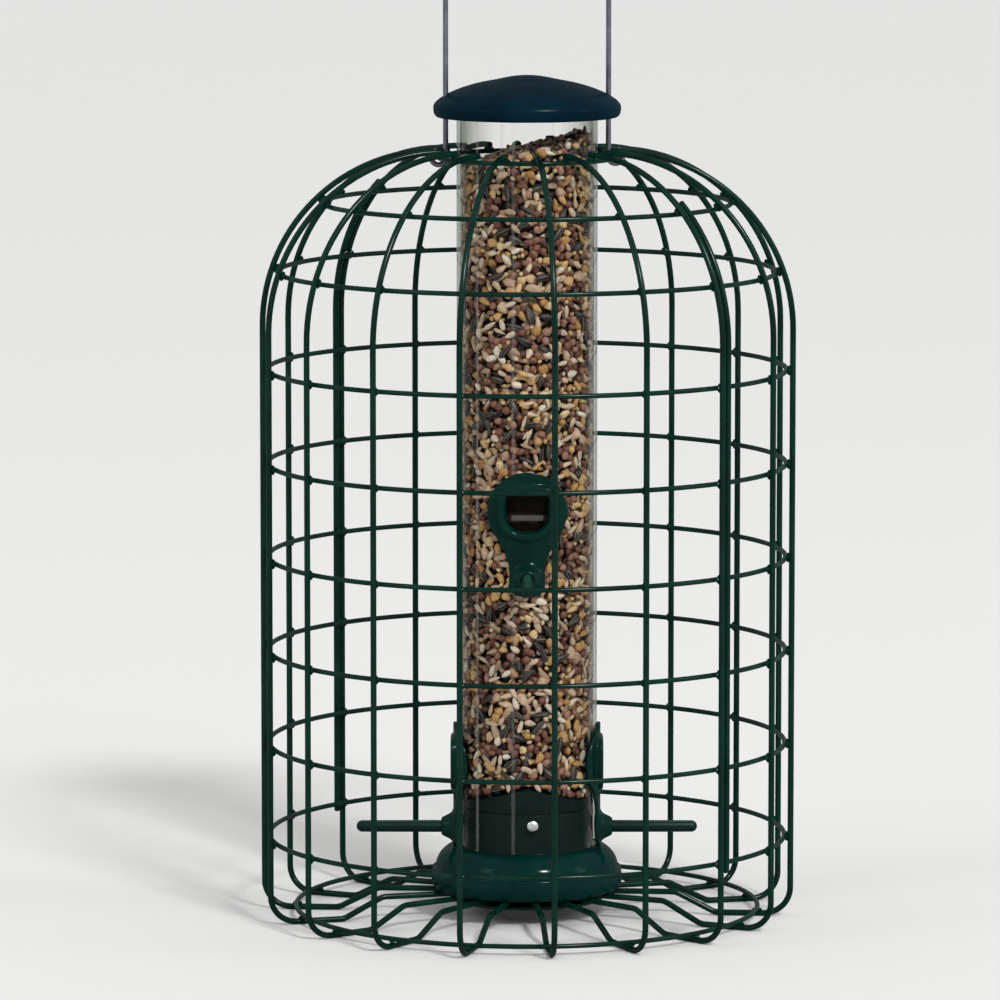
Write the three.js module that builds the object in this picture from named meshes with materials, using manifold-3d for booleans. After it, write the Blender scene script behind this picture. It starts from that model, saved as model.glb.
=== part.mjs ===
// A caged tube feeder for small birds. A clear seed tube with four ports stands in a domed
// cage of coated wire, and the whole hangs from a bent wire bail that its cap slides on.
// Millimetres, +Z up. The origin is on the floor, on the axis of the tube.
// The front of the feeder faces -Y. Bearings are counted from the front, towards +X.

import * as THREE from 'three';
import { mergeVertices } from 'three/addons/utils/BufferGeometryUtils.js';
import Module from 'manifold-3d';

const wasm = await Module();
wasm.setup();
const { Manifold, Mesh: SolidMesh } = wasm;

const { cos, sin, tan, PI, sqrt } = Math;
const degree = PI / 180;
const quarter = PI / 2;

// Fits
const gap = 0.3;
const overrun = 1;
const weldShare = 0.001;

// Facets: how many straight steps stand for a full or a partial round
const wireSides = 6;
const hoopSteps = 36;
const domeSteps = 8;
const footSteps = 3;
const kneeSteps = 2;
const tubeSteps = 36;
const seedSteps = 24;
const castingSteps = 30;
const pinSteps = 10;
const curveSteps = 3;
const outlineSteps = 6;

// Cage wire
const ribWire = 2.8;
const hoopWire = 2.2;
const ribCount = 18;
const ribPhase = 5.6 * degree;
const seamRibCount = { front: 2, back: 11 };

// Cage form, measured to the middle of the rib wire
const cageRadius = 120;
const topRingClearance = 8.25;
const shoulderHeight = 268;
const ribOverhang = 1.6;
const footRadius = 12;
const floorHeight = 10.6;
const floorKneeDistance = 66;
const floorSlope = 27 * degree;
const kneeRadius = 8;
const floorRingRadius = 30;

// Hoops: the side hoops are evenly spaced, the dome hoops stand at their own angles
const lowestSideHoop = 37;
const hoopPitch = 42.5;
const sideHoops = 6;
const domeHoopAngles = [19.5 * degree, 47.5 * degree];
const footHoopInset = 3;
const seamOverhang = 4;

// Seed tube, which stands proud of the cage's top ring
const tubeDiameter = 63.5;
const tubeWall = 1.6;
const tubeProud = 24;

// Base casting: a bellied band, a narrow ledge and a dome that draws in to the tube.
// The reaches are counted outward from the tube.
const baseBandReach = 11.6;
const baseFootReach = 9.4;
const baseLedgeReach = 11;
const baseDomeReach = 9.7;
const baseDomeInset = 3.75;
const baseWall = 2.6;
const baseBandHeight = 9.6;
const baseBellyHeight = 5;
const baseDomeHeight = 9.8;
const plugHeight = 18;
const plugWall = 3;
const bossRadius = 7;

// Base fastening, under the cage floor
const plateRadius = 35;
const plateThickness = 1.6;
const plateDishRadius = 12.5;
const plateDish = 1;
const thumbScrewDiameter = 5;
const knobRadius = 10;
const knobHeight = 5;
const knobLobes = 8;
const knobLobeDepth = 0.9;
const thumbScrewReach = 13;
const threadDepth = 2;

// Screws that pin the tube to the plug
const tubeScrewDiameter = 3;
const tubeScrewHead = 5.2;
const tubeScrewHeadHeight = 1.4;
const tubeScrewReach = 6;
const tubeScrewRise = 13.3;
const tubeScrewBearing = 4.5 * degree;

// Seed floor
const baffleRidge = 9;
const baffleEdge = 2.4;

// Ports
const portHeadRadius = 18;
const portPlate = 1.4;
const tailHalfWidth = 8;
const tailCorner = 5;
const flankAngle = 35 * degree;
const flankDrop = 27;
const mouthHalfWidth = 10.5;
const mouthRise = 8.5;
const mouthDrop = 9.5;
const mouthCorner = 4;
const frameWall = 3.4;
const frameProud = 2.6;
const frameRound = 0.8;
const ductWall = 1.5;
const hoodReach = 14;
const hoodHeel = 3.4;
const sillHeight = 2.4;
const sillDrop = 2.7;
const sillInset = 3;

// Perches: how far they and their bosses stand out is counted from the tube
const perchDiameter = 5.4;
const perchProud = 45.75;
const perchDrop = 30;
const perchSocketFloor = 0.9;
const perchBossProud = 7.25;
const perchBossRadius = 6.6;
const perchBossTip = 3.9;
const upperPerchHeight = 158;

// Seed: a lumpy column. The lumps run through a few depths in turn.
const seedHeadroom = 20;
const seedPitch = 8;
const seedRelief = 2.8;
const seedDepthCount = 4;
const seedTilt = 14.5 * degree;

// Cap: its rim reaches below the top of the tube and out past the legs of the bail.
// A fullness share of 0.5 makes its dome an ellipse, and of 1 a lens with a sharp rim.
const capOverhang = 5.7;
const capRimDepth = 5.8;
const capRimDrop = 5;
const capDomeRise = 12.6;
const capFullnessShare = 0.7;
const capWall = 2.2;
const capNubRadius = 13;
const capNubRise = 1;
const capSeatGap = 0.9;
const capSeatWidth = 3.4;
const collarClearance = 1.2;
const collarWall = 2;
const collarDepth = 7.4;

// Bail
const bailWire = 2.5;
const bailHookPlay = 0.5;
const bailHookTurn = 255 * degree;
const bailHookSteps = 7;
const bailArchSteps = 12;
const capLift = 100;

// Worked out from the sizes above
const cornerOf = (diameter) => diameter / 2 / cos(PI / wireSides);
const ribRadius = ribWire / 2;
const ribCorner = cornerOf(ribWire);
const hoopCorner = cornerOf(hoopWire);
const bailCorner = cornerOf(bailWire);
const tubeRadius = tubeDiameter / 2;
const boreRadius = tubeRadius - tubeWall;
const topRingRadius = tubeRadius + topRingClearance;
const domeRadius = cageRadius - topRingRadius;
const domeSag = domeRadius * (1 - cos(quarter / domeSteps / 2));
const hoopInset = ribRadius + gap + hoopCorner;
const hoopSeat = hoopInset + domeSag;
const topRingHeight = shoulderHeight + domeRadius - hoopInset;
const tubeTop = topRingHeight + tubeProud;
const seedTop = tubeTop - seedHeadroom;
const baseBottom = floorHeight + ribRadius + gap;
const tubeBottom = baseBottom + baseBandHeight + baseDomeHeight + gap;
const plugTop = tubeBottom + plugHeight;
const perchReach = tubeRadius + perchProud;
const perchBossReach = tubeRadius + perchBossProud;
const lowerPerchHeight = tubeBottom + tailHalfWidth;
const plateTop = floorHeight - ribRadius - gap;
const plateBottom = plateTop - plateThickness;
const knobTop = plateBottom + plateDish - gap;
const bossBottom = plateTop + plateDish + gap;
const threadTop = bossBottom + thumbScrewReach + threadDepth;
const plugRadius = boreRadius - gap;
const portSeat = tubeRadius + gap;
const bailFoot = topRingRadius - hoopCorner - bailHookPlay - bailCorner;
const bailHook = topRingRadius - bailFoot;
const capRadius = bailFoot + capOverhang;
const capRimHeight = tubeTop - capRimDepth;
const capTop = capRimHeight + capRimDrop + capDomeRise;
const bailSpring = capTop + capNubRise + capLift + gap;

const paint = {
  cage: new THREE.MeshStandardMaterial({ color: 0x0c3a2c, roughness: 0.35, metalness: 0.1 }),
  casting: new THREE.MeshStandardMaterial({ color: 0x0a3b38, roughness: 0.3, metalness: 0.1 }),
  moulding: new THREE.MeshStandardMaterial({ color: 0x0b4433, roughness: 0.4, metalness: 0 }),
  clear: new THREE.MeshStandardMaterial({
    color: 0xd8e0de, roughness: 0.08, transparent: true, opacity: 0.35,
  }),
  bright: new THREE.MeshStandardMaterial({ color: 0xb9bec4, roughness: 0.3, metalness: 1 }),
  bail: new THREE.MeshStandardMaterial({ color: 0x5f6470, roughness: 0.4, metalness: 0.9 }),
  seed: new THREE.MeshStandardMaterial({ color: 0xa07f57, roughness: 0.85, metalness: 0 }),
};

const feeder = new THREE.Group();

function place(name, geometry, material, parent = feeder) {
  const mesh = new THREE.Mesh(geometry, material);
  mesh.name = name;
  parent.add(mesh);
  return mesh;
}

// A group turned to a bearing: its own +X points outward there
function facing(bearing) {
  const group = new THREE.Group();
  group.rotation.z = bearing - quarter;
  feeder.add(group);
  return group;
}

// Solids for joining and cutting
function solid(geometry) {
  const bare = geometry.clone();
  bare.deleteAttribute('normal');
  bare.deleteAttribute('uv');
  const merged = mergeVertices(bare, gap * weldShare);
  return new Manifold(new SolidMesh({
    numProp: 3,
    vertProperties: new Float32Array(merged.attributes.position.array),
    triVerts: new Uint32Array(merged.index.array),
  }));
}

function geometryOf(body) {
  const mesh = body.getMesh();
  const geometry = new THREE.BufferGeometry();
  geometry.setAttribute('position', new THREE.BufferAttribute(new Float32Array(mesh.vertProperties), 3));
  geometry.setIndex(new THREE.BufferAttribute(new Uint32Array(mesh.triVerts), 1));
  geometry.computeVertexNormals();
  return geometry;
}

const join = (first, ...others) => others.reduce((body, other) => body.add(other), first);
const cut = (first, ...others) => others.reduce((body, other) => body.subtract(other), first);

// A closed profile of [radius, height] points, turned about the vertical axis
function turned(points, steps = tubeSteps) {
  const profile = points.map(([radius, height]) => new THREE.Vector2(radius, height));
  profile.push(profile[0].clone());
  return new THREE.LatheGeometry(profile, steps).rotateX(quarter);
}

// The same, turned about the +X axis: heights run outward
function turnedOutward(points, steps = pinSteps) {
  return turned(points, steps).rotateY(quarter);
}

// The points of an arc in a profile, both ends included
function arc(centreRadius, centreHeight, radius, height, from, to, steps = curveSteps) {
  return Array.from({ length: steps + 1 }, (_, i) => {
    const angle = from + (to - from) * i / steps;
    return [centreRadius + radius * cos(angle), centreHeight + height * sin(angle)];
  });
}

const axisX = new THREE.Vector3(1, 0, 0);
const axisY = new THREE.Vector3(0, 1, 0);
const axisZ = new THREE.Vector3(0, 0, 1);

// An outline drawn across the wall (sideways, up) and pushed outward along +X
function pushedOutward(shape, from, to, round = 0, curveSegments = curveSteps) {
  const bevel = { bevelEnabled: round > 0, bevelThickness: round, bevelSize: round, bevelOffset: -round };
  const geometry = new THREE.ExtrudeGeometry(shape, {
    depth: to - from - round, curveSegments, bevelSegments: 1, ...bevel,
  });
  geometry.translate(0, 0, from);
  return geometry.applyMatrix4(new THREE.Matrix4().makeBasis(axisY, axisZ, axisX));
}

// An outline drawn in the upright plane (outward, up), as wide as given to both sides
function pushedAcross(shape, halfWidth) {
  const geometry = new THREE.ExtrudeGeometry(shape, { depth: 2 * halfWidth, bevelEnabled: false });
  geometry.translate(0, 0, -halfWidth);
  return geometry.applyMatrix4(new THREE.Matrix4().makeBasis(axisX, axisZ, axisY.clone().negate()));
}

function polygon(points) {
  return new THREE.Shape(points.map(([x, y]) => new THREE.Vector2(x, y)));
}

// A wire bent in the upright plane (outward, up): straight runs and round bends in turn.
// A run is { run: length }, a bend is { bend: radius, turn: angle, steps }.
class BentWire extends THREE.Curve {
  constructor([x, z], heading, runs) {
    super();
    this.knots = [{ x, z, heading }];
    for (const part of runs) this.lay(part);
  }

  lay({ run, bend, turn, steps = 1 }) {
    const { x, z, heading } = this.knots.at(-1);
    if (run !== undefined) {
      this.knots.push({ x: x + run * cos(heading), z: z + run * sin(heading), heading });
      return;
    }
    const side = Math.sign(turn);
    const centre = { x: x - side * bend * sin(heading), z: z + side * bend * cos(heading) };
    for (let i = 1; i <= steps; i++) {
      const now = heading + turn * i / steps;
      const point = { x: centre.x + side * bend * sin(now), z: centre.z - side * bend * cos(now) };
      this.knots.push({ ...point, heading: now });
    }
  }

  get steps() {
    return this.knots.length - 1;
  }

  getUtoTmapping(u) {
    return u;
  }

  getPoint(t, target = new THREE.Vector3()) {
    const at = Math.min(Math.floor(t * this.steps), this.steps - 1);
    const share = t * this.steps - at;
    const [a, b] = [this.knots[at], this.knots[at + 1]];
    return target.set(a.x + (b.x - a.x) * share, 0, a.z + (b.z - a.z) * share);
  }

  getTangent(t, target = new THREE.Vector3()) {
    const { heading } = this.knots[Math.round(t * this.steps)];
    return target.set(cos(heading), 0, sin(heading));
  }

  // The wire lies in one plane, so a section's first direction stays in it, square to the wire
  computeFrenetFrames(segments) {
    const tangents = Array.from({ length: segments + 1 }, (_, i) => this.getTangent(i / segments));
    const binormals = tangents.map(() => axisY.clone().negate());
    const normals = tangents.map((tangent, i) => new THREE.Vector3().crossVectors(binormals[i], tangent));
    return { tangents, normals, binormals };
  }
}

// The wire's section has six sides. Flat sides lie on the hoops and on the ground.
function wire(route, diameter) {
  const corner = cornerOf(diameter);
  const corners = Array.from({ length: wireSides }, (_, i) => {
    const angle = PI * (2 * i + 1) / wireSides;
    return [corner * cos(angle), corner * sin(angle)];
  });
  return new THREE.ExtrudeGeometry(polygon(corners), {
    steps: route.steps, extrudePath: route, bevelEnabled: false,
  });
}

function hoop(name, radius, height, steps = hoopSteps) {
  const ring = new THREE.TorusGeometry(radius, hoopCorner, wireSides, steps);
  const mesh = place(name, ring, paint.cage);
  mesh.position.z = height;
  mesh.rotation.z = ribPhase - quarter;
}

// Cage

// From the floor ring outward, down to the foot, up the side and over the dome
function ribRoute() {
  const start = floorRingRadius - ribOverhang;
  const kneeRise = kneeRadius * (1 - cos(floorSlope));
  const kneeRun = kneeRadius * sin(floorSlope);
  const slopeRise = floorHeight - ribRadius - 2 * kneeRise;
  const slopeRun = slopeRise / tan(floorSlope);
  const lowRun = cageRadius - footRadius - floorKneeDistance - 2 * kneeRun - slopeRun;
  return new BentWire([start, floorHeight], 0, [
    { run: floorKneeDistance - start },
    { bend: kneeRadius, turn: -floorSlope, steps: kneeSteps },
    { run: slopeRise / sin(floorSlope) },
    { bend: kneeRadius, turn: floorSlope, steps: kneeSteps },
    { run: lowRun },
    { bend: footRadius, turn: quarter, steps: footSteps },
    { run: shoulderHeight - ribRadius - footRadius },
    { bend: domeRadius, turn: quarter, steps: domeSteps },
    { run: ribOverhang },
  ]);
}

// The lap wire beside a rib, from the lowest side hoop to past the upper dome hoop
function seamRoute() {
  const foot = lowestSideHoop - seamOverhang;
  return new BentWire([cageRadius, foot], quarter, [
    { run: shoulderHeight - foot },
    { bend: domeRadius, turn: domeHoopAngles[1] + seamOverhang / domeRadius, steps: domeSteps / 2 },
  ]);
}

function buildRibs() {
  const rib = wire(ribRoute(), ribWire);
  for (let i = 0; i < ribCount; i++) {
    const name = `cage_rib_${String(i + 1).padStart(2, '0')}`;
    place(name, rib, paint.cage, facing(ribPhase + 2 * PI * i / ribCount));
  }
  const seam = wire(seamRoute(), ribWire);
  for (const [side, count] of Object.entries(seamRibCount)) {
    const group = facing(ribPhase + 2 * PI * count / ribCount);
    place(`cage_seam_wire_${side}`, seam, paint.cage, group).position.y = 2 * ribCorner + gap;
  }
}

function buildHoops() {
  domeHoopAngles.toReversed().forEach((angle, i) => {
    const reach = domeRadius - hoopSeat;
    hoop(`cage_ring_${i + 1}`, topRingRadius + reach * cos(angle), shoulderHeight + reach * sin(angle));
  });
  for (let i = 0; i < sideHoops; i++) {
    const number = domeHoopAngles.length + sideHoops - i;
    hoop(`cage_ring_${number}`, cageRadius - hoopInset, lowestSideHoop + hoopPitch * i);
  }
  const footHoop = cageRadius - footRadius - footHoopInset;
  hoop(`cage_ring_${domeHoopAngles.length + sideHoops + 1}`, footHoop, ribWire + gap + hoopWire / 2);
  hoop('cage_top_ring', topRingRadius, topRingHeight, ribCount);
  hoop('cage_floor_ring', floorRingRadius, floorHeight + ribRadius + gap + hoopWire / 2, ribCount);
}

// Tube, base and seed floor

// A round cutter along +X at a height
function drill(diameter, from, to, height) {
  const radius = diameter / 2;
  const geometry = turnedOutward([[0, from], [radius, from], [radius, to], [0, to]]);
  return solid(geometry.translate(0, 0, height));
}

const turnedTo = (body, bearing) => body.rotate([0, 0, (bearing - quarter) / degree]);

const tubeScrewBearings = { front: tubeScrewBearing, back: tubeScrewBearing + PI };
const tubeScrewHeight = tubeBottom + tubeScrewRise;
const portBearings = { front: 0, right: quarter, back: PI, left: -quarter };
const perchHeights = {
  front: upperPerchHeight, back: upperPerchHeight, right: lowerPerchHeight, left: lowerPerchHeight,
};

function tubeScrewHoles(from) {
  return Object.values(tubeScrewBearings).map((bearing) => {
    return turnedTo(drill(tubeScrewDiameter + 2 * gap, from, tubeRadius + overrun, tubeScrewHeight), bearing);
  });
}

// The mouth of a port: flat top with rounded corners, and a round lower half
function mouthOutline(grow = 0) {
  const half = mouthHalfWidth + grow;
  const top = mouthRise + grow;
  const bottom = -mouthDrop - grow;
  const corner = mouthCorner + grow;
  const shape = new THREE.Shape();
  shape.moveTo(0, bottom);
  shape.quadraticCurveTo(half, bottom, half, 0);
  shape.lineTo(half, top - corner);
  shape.quadraticCurveTo(half, top, half - corner, top);
  shape.lineTo(corner - half, top);
  shape.quadraticCurveTo(-half, top, -half, top - corner);
  shape.lineTo(-half, 0);
  shape.quadraticCurveTo(-half, bottom, 0, bottom);
  return shape;
}

// The plate of a port: a round head that draws in to a tail with a blunt end
function dropOutline() {
  const shoulder = { x: portHeadRadius * cos(flankAngle), y: -portHeadRadius * sin(flankAngle) };
  const pullDown = shoulder.y - (shoulder.x - tailHalfWidth) / tan(flankAngle);
  const end = -perchDrop - tailHalfWidth;
  const inset = tailHalfWidth - tailCorner;
  const shape = new THREE.Shape();
  shape.absarc(0, 0, portHeadRadius, -flankAngle, PI + flankAngle);
  shape.quadraticCurveTo(-tailHalfWidth, pullDown, -tailHalfWidth, -flankDrop);
  shape.absarc(-inset, end + tailCorner, tailCorner, PI, PI + quarter);
  shape.absarc(inset, end + tailCorner, tailCorner, -quarter, 0);
  shape.lineTo(tailHalfWidth, -flankDrop);
  shape.quadraticCurveTo(tailHalfWidth, pullDown, shoulder.x, shoulder.y);
  return shape;
}

function buildTube() {
  const sleeve = solid(turned([
    [boreRadius, tubeBottom], [tubeRadius, tubeBottom], [tubeRadius, tubeTop], [boreRadius, tubeTop],
  ]));
  const mouth = solid(pushedOutward(mouthOutline(ductWall + gap), 0, tubeRadius + overrun));
  const mouths = Object.entries(portBearings).map(([side, bearing]) => {
    return turnedTo(mouth.translate([0, 0, perchHeights[side] + perchDrop]), bearing);
  });
  place('tube', geometryOf(cut(sleeve, ...mouths, ...tubeScrewHoles(0))), paint.clear);
}

function buildBase() {
  const ledge = baseBottom + baseBandHeight;
  const crown = ledge + baseDomeHeight;
  const foot = tubeRadius + baseFootReach;
  const inner = foot - baseWall;
  const ceiling = crown - baseWall;
  const domeCentre = tubeRadius - baseDomeInset;
  const domeReach = tubeRadius + baseDomeReach - domeCentre;
  const domeEnd = Math.acos((tubeRadius + baseWall - domeCentre) / domeReach);
  const outside = [
    ...arc(foot, baseBottom + baseBellyHeight, baseBandReach - baseFootReach, baseBellyHeight, -quarter, 0),
    [tubeRadius + baseLedgeReach, ledge],
    ...arc(domeCentre, ledge, domeReach, baseDomeHeight / sin(domeEnd), 0, domeEnd),
  ];
  const hollow = plugRadius - plugWall;
  const inside = [
    [plugRadius, crown], [plugRadius, plugTop], [hollow, plugTop], [hollow, crown], [0, crown],
    [0, threadTop],
  ];
  const bore = thumbScrewDiameter / 2 + gap;
  const underside = [
    [bore, threadTop], [bore, bossBottom], [bossRadius, bossBottom], [bossRadius, ceiling],
    ...arc(hollow, ledge, inner - hollow, ceiling - ledge, quarter, 0),
    [inner, baseBottom],
  ];
  const body = solid(turned([...outside, ...inside, ...underside], castingSteps));
  place('base', geometryOf(cut(body, ...tubeScrewHoles(0))), paint.casting);
}

function buildBaffle() {
  const floor = plugTop + gap;
  const edge = floor + baffleEdge;
  const ridge = edge + baffleRidge;
  const disc = solid(turned([[0, floor], [plugRadius, floor], [plugRadius, ridge], [0, ridge]]));
  const reach = tubeRadius;
  const gable = solid(pushedAcross(polygon([
    [-reach, floor], [reach, floor], [reach, edge], [0, ridge], [-reach, edge],
  ]), reach));
  place('seed_baffle', geometryOf(disc.intersect(gable)), paint.moulding);
}

function buildFastening() {
  const hole = thumbScrewDiameter / 2 + gap;
  place('floor_plate', turned([
    [hole, plateBottom + plateDish], [plateDishRadius, plateBottom + plateDish],
    [plateDishRadius, plateBottom], [plateRadius, plateBottom], [plateRadius, plateTop],
    [plateDishRadius + plateDish, plateTop], [plateDishRadius, plateTop + plateDish],
    [hole, plateTop + plateDish],
  ], castingSteps), paint.cage);

  const knob = new THREE.Shape(Array.from({ length: 4 * knobLobes }, (_, i) => {
    const angle = PI * i / knobLobes / 2;
    const radius = knobRadius - knobLobeDepth * (i % 4 === 0 ? 1 : 0);
    return new THREE.Vector2(radius * cos(angle), radius * sin(angle));
  }));
  const head = new THREE.ExtrudeGeometry(knob, { depth: knobHeight, bevelEnabled: false });
  head.translate(0, 0, knobTop - knobHeight);
  const shankTop = bossBottom + thumbScrewReach;
  const radius = thumbScrewDiameter / 2;
  const shank = solid(turned([
    [0, knobTop - gap], [radius, knobTop - gap], [radius, shankTop], [0, shankTop],
  ], pinSteps));
  place('thumb_screw', geometryOf(join(solid(head), shank)), paint.bright);

  const seat = tubeRadius + gap;
  const pin = tubeScrewDiameter / 2;
  const screw = turnedOutward([
    [0, seat - tubeScrewReach], [pin, seat - tubeScrewReach], [pin, seat], [tubeScrewHead / 2, seat],
    ...arc(0, seat, tubeScrewHead / 2, tubeScrewHeadHeight, 0, quarter, 3).slice(1, -1),
    [0, seat + tubeScrewHeadHeight],
  ]);
  for (const [side, bearing] of Object.entries(tubeScrewBearings)) {
    place(`tube_screw_${side}`, screw, paint.bright, facing(bearing)).position.z = tubeScrewHeight;
  }
}

// Ports and perches

// The duct through the wall, cut back below so that its roof makes a hood over the seed
function hoodCutter(clearance = 0) {
  const tip = tubeRadius - hoodReach - clearance;
  const heel = tubeRadius - hoodHeel - clearance;
  const top = mouthRise + ductWall + clearance + overrun;
  const bottom = -mouthDrop - ductWall - clearance - overrun;
  return solid(pushedAcross(polygon([
    [-overrun, bottom], [heel, bottom], [tip, top], [-overrun, top],
  ]), portHeadRadius));
}

function ductSolid(clearance = 0) {
  const duct = solid(pushedOutward(mouthOutline(ductWall + clearance), 0, portSeat + overrun));
  return cut(duct, hoodCutter(clearance));
}

function buildPorts() {
  const outer = portSeat + portPlate;
  const skin = solid(turned([
    [portSeat, -perchDrop - portHeadRadius], [outer, -perchDrop - portHeadRadius],
    [outer, portHeadRadius + overrun], [portSeat, portHeadRadius + overrun],
  ]));
  const core = solid(turned([
    [0, -perchDrop - portHeadRadius], [portSeat, -perchDrop - portHeadRadius],
    [portSeat, portHeadRadius + overrun], [0, portHeadRadius + overrun],
  ]));
  const plate = skin.intersect(solid(pushedOutward(dropOutline(), 0, outer + overrun, 0, outlineSteps)));
  const proudFace = portSeat + frameProud;
  const frame = solid(pushedOutward(mouthOutline(frameWall), boreRadius - frameProud, proudFace, frameRound));
  const boss = solid(turnedOutward([
    [0, boreRadius - overrun], [perchBossRadius, boreRadius - overrun], [perchBossRadius, outer],
    [perchBossTip, perchBossReach], [0, perchBossReach],
  ], pinSteps).translate(0, 0, -perchDrop));
  const proud = cut(join(frame, boss), core);
  const socketFloor = portSeat + perchSocketFloor;
  const socket = drill(perchDiameter + 2 * gap, socketFloor, perchBossReach + overrun, -perchDrop);
  const mouth = solid(pushedOutward(mouthOutline(), 0, proudFace + overrun));
  const sill = solid(new THREE.BoxGeometry(sillHeight, 2 * mouthHalfWidth + ductWall, sillHeight)
    .translate(proudFace - sillInset, 0, -sillDrop));
  const port = join(cut(join(plate, proud, ductSolid()), mouth, socket), sill);
  const geometry = geometryOf(port);
  const perch = perchGeometry();
  for (const [side, bearing] of Object.entries(portBearings)) {
    const group = facing(bearing);
    group.position.z = perchHeights[side];
    place(`port_${side}`, geometry, paint.moulding, group).position.z = perchDrop;
    place(`perch_${side}`, perch, paint.moulding, group);
  }
}

function perchGeometry() {
  const radius = perchDiameter / 2;
  const start = portSeat + perchSocketFloor + gap;
  return turnedOutward([
    [0, start], [radius, start],
    ...arc(0, perchReach - radius, radius, radius, 0, quarter, 3).slice(0, -1),
    [0, perchReach],
  ]);
}

// A column of seed from one height to another: rings whose points lie at different depths
function lumpyColumn(from, to) {
  const radius = boreRadius - gap;
  const rings = Math.ceil((to - from) / seedPitch);
  const lathe = turned([
    [0, from],
    ...Array.from({ length: rings + 1 }, (_, ring) => [radius, from + (to - from) * ring / rings]),
    [0, to],
  ], seedSteps);
  const points = lathe.attributes.position;
  for (let i = 0; i < points.count; i++) {
    const turns = Math.atan2(points.getY(i), points.getX(i)) / (2 * PI) + 1;
    const column = Math.round(turns * seedSteps) % seedSteps;
    const ring = Math.round((points.getZ(i) - from) / (to - from) * rings);
    const depth = (column * ring + column + 2 * ring) % seedDepthCount / (seedDepthCount - 1);
    const share = 1 - depth * seedRelief / radius;
    points.setXY(i, points.getX(i) * share, points.getY(i) * share);
  }
  return solid(lathe);
}

// The seed stands on its sloped floor, behind the hoods, with an uneven top
function buildSeed() {
  const floor = plugTop + gap;
  const slack = sqrt(2) * gap;
  const reach = tubeRadius;
  const rise = reach * tan(seedTilt);
  const column = lumpyColumn(floor + baffleEdge, seedTop + 2 * rise);
  const bed = solid(pushedAcross(polygon([
    [-reach, floor], [reach, floor], [reach, floor + baffleEdge + slack],
    [0, floor + baffleEdge + baffleRidge + slack], [-reach, floor + baffleEdge + slack],
  ]), reach));
  const lid = solid(pushedAcross(polygon([
    [-reach, seedTop - rise], [reach, seedTop + rise],
    [reach, seedTop + 3 * reach], [-reach, seedTop + 3 * reach],
  ]), reach));
  const duct = ductSolid(2 * gap);
  const ducts = Object.entries(portBearings).map(([side, bearing]) => {
    return turnedTo(duct.translate([0, 0, perchHeights[side] + perchDrop]), bearing);
  });
  place('seed_fill', geometryOf(cut(column, bed, lid, ...ducts)), paint.seed);
}

// Cap and bail

// How much of its rise the cap's dome has at a share of its radius
const domeShare = (share) => (1 - share ** 2) ** capFullnessShare;

// The dome's profile, from its edge to a radius near its middle
function dome(height, radius, rise, end, steps) {
  return arc(0, 0, 1, 1, 0, Math.acos(end / radius), steps).map(([share]) => {
    return [radius * share, height + rise * domeShare(share)];
  });
}

function buildCap(group) {
  const widest = capRimHeight + capRimDrop;
  const seat = tubeTop + capSeatGap;
  const collar = boreRadius - collarClearance;
  const seatEdge = tubeRadius + capSeatWidth;
  const inner = capRadius - capWall;
  const nubEdge = widest + domeShare(capNubRadius / capRadius) * capDomeRise;
  const outside = [
    [inner, capRimHeight],
    ...arc(inner, widest, capWall, capRimDrop, -quarter, 0).slice(1),
    ...dome(widest, capRadius, capDomeRise, capNubRadius, 2 * curveSteps).slice(1),
    ...arc(0, nubEdge, capNubRadius, widest + capDomeRise + capNubRise - nubEdge, 0, quarter).slice(1),
  ];
  const form = solid(turned([...outside, [0, capRimHeight]], castingSteps));
  const hollow = solid(turned([
    [0, capRimHeight - overrun], [inner, capRimHeight - overrun],
    ...dome(widest, inner, capDomeRise - capWall, 0, 2 * curveSteps),
  ], castingSteps));
  const ring = solid(turned([
    [collar - collarWall, seat - collarDepth], [collar, seat - collarDepth], [collar, seat],
    [seatEdge, seat], [seatEdge, capTop], [collar - collarWall, capTop],
  ], castingSteps));
  const shell = join(cut(form, hollow), ring.intersect(form));
  const holes = [1, -1].map((side) => {
    const reach = bailCorner + gap;
    const hole = turned([[0, 0], [reach, 0], [reach, capTop], [0, capTop]], pinSteps);
    return solid(hole.translate(side * bailFoot, 0, 0));
  });
  place('cap', geometryOf(cut(shell, ...holes)), paint.casting, group);
}

function buildBail(group) {
  const hook = { bend: bailHook, turn: -bailHookTurn, steps: bailHookSteps };
  const startAngle = bailHookTurn - PI;
  const start = [topRingRadius + bailHook * cos(startAngle), topRingHeight + bailHook * sin(startAngle)];
  const leg = { run: bailSpring - topRingHeight };
  const arch = { bend: bailFoot, turn: PI, steps: bailArchSteps };
  const route = new BentWire(start, startAngle - quarter, [hook, leg, arch, leg, hook]);
  place('bail', wire(route, bailWire), paint.bail, group);
}

buildRibs();
buildHoops();
buildTube();
buildBase();
buildBaffle();
buildFastening();
buildPorts();
buildSeed();

// The bail stands midway between two ribs, and the cap's holes go with it
const bailGroup = facing(ribPhase + quarter);
buildCap(bailGroup);
buildBail(bailGroup);

export default feeder;
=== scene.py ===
"""The looks of a caged tube feeder for small birds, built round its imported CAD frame.

Sizes are in millimetres, as in the part's own source, and MM turns them into metres where a mesh is made.
The front of the feeder faces -Y. Bearings are counted from the front, towards +X.
"""
import math
from collections import namedtuple
from math import cos, pi, radians, sin, tan

import bmesh
import bpy
import numpy as np
from mathutils import Matrix, Vector


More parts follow.
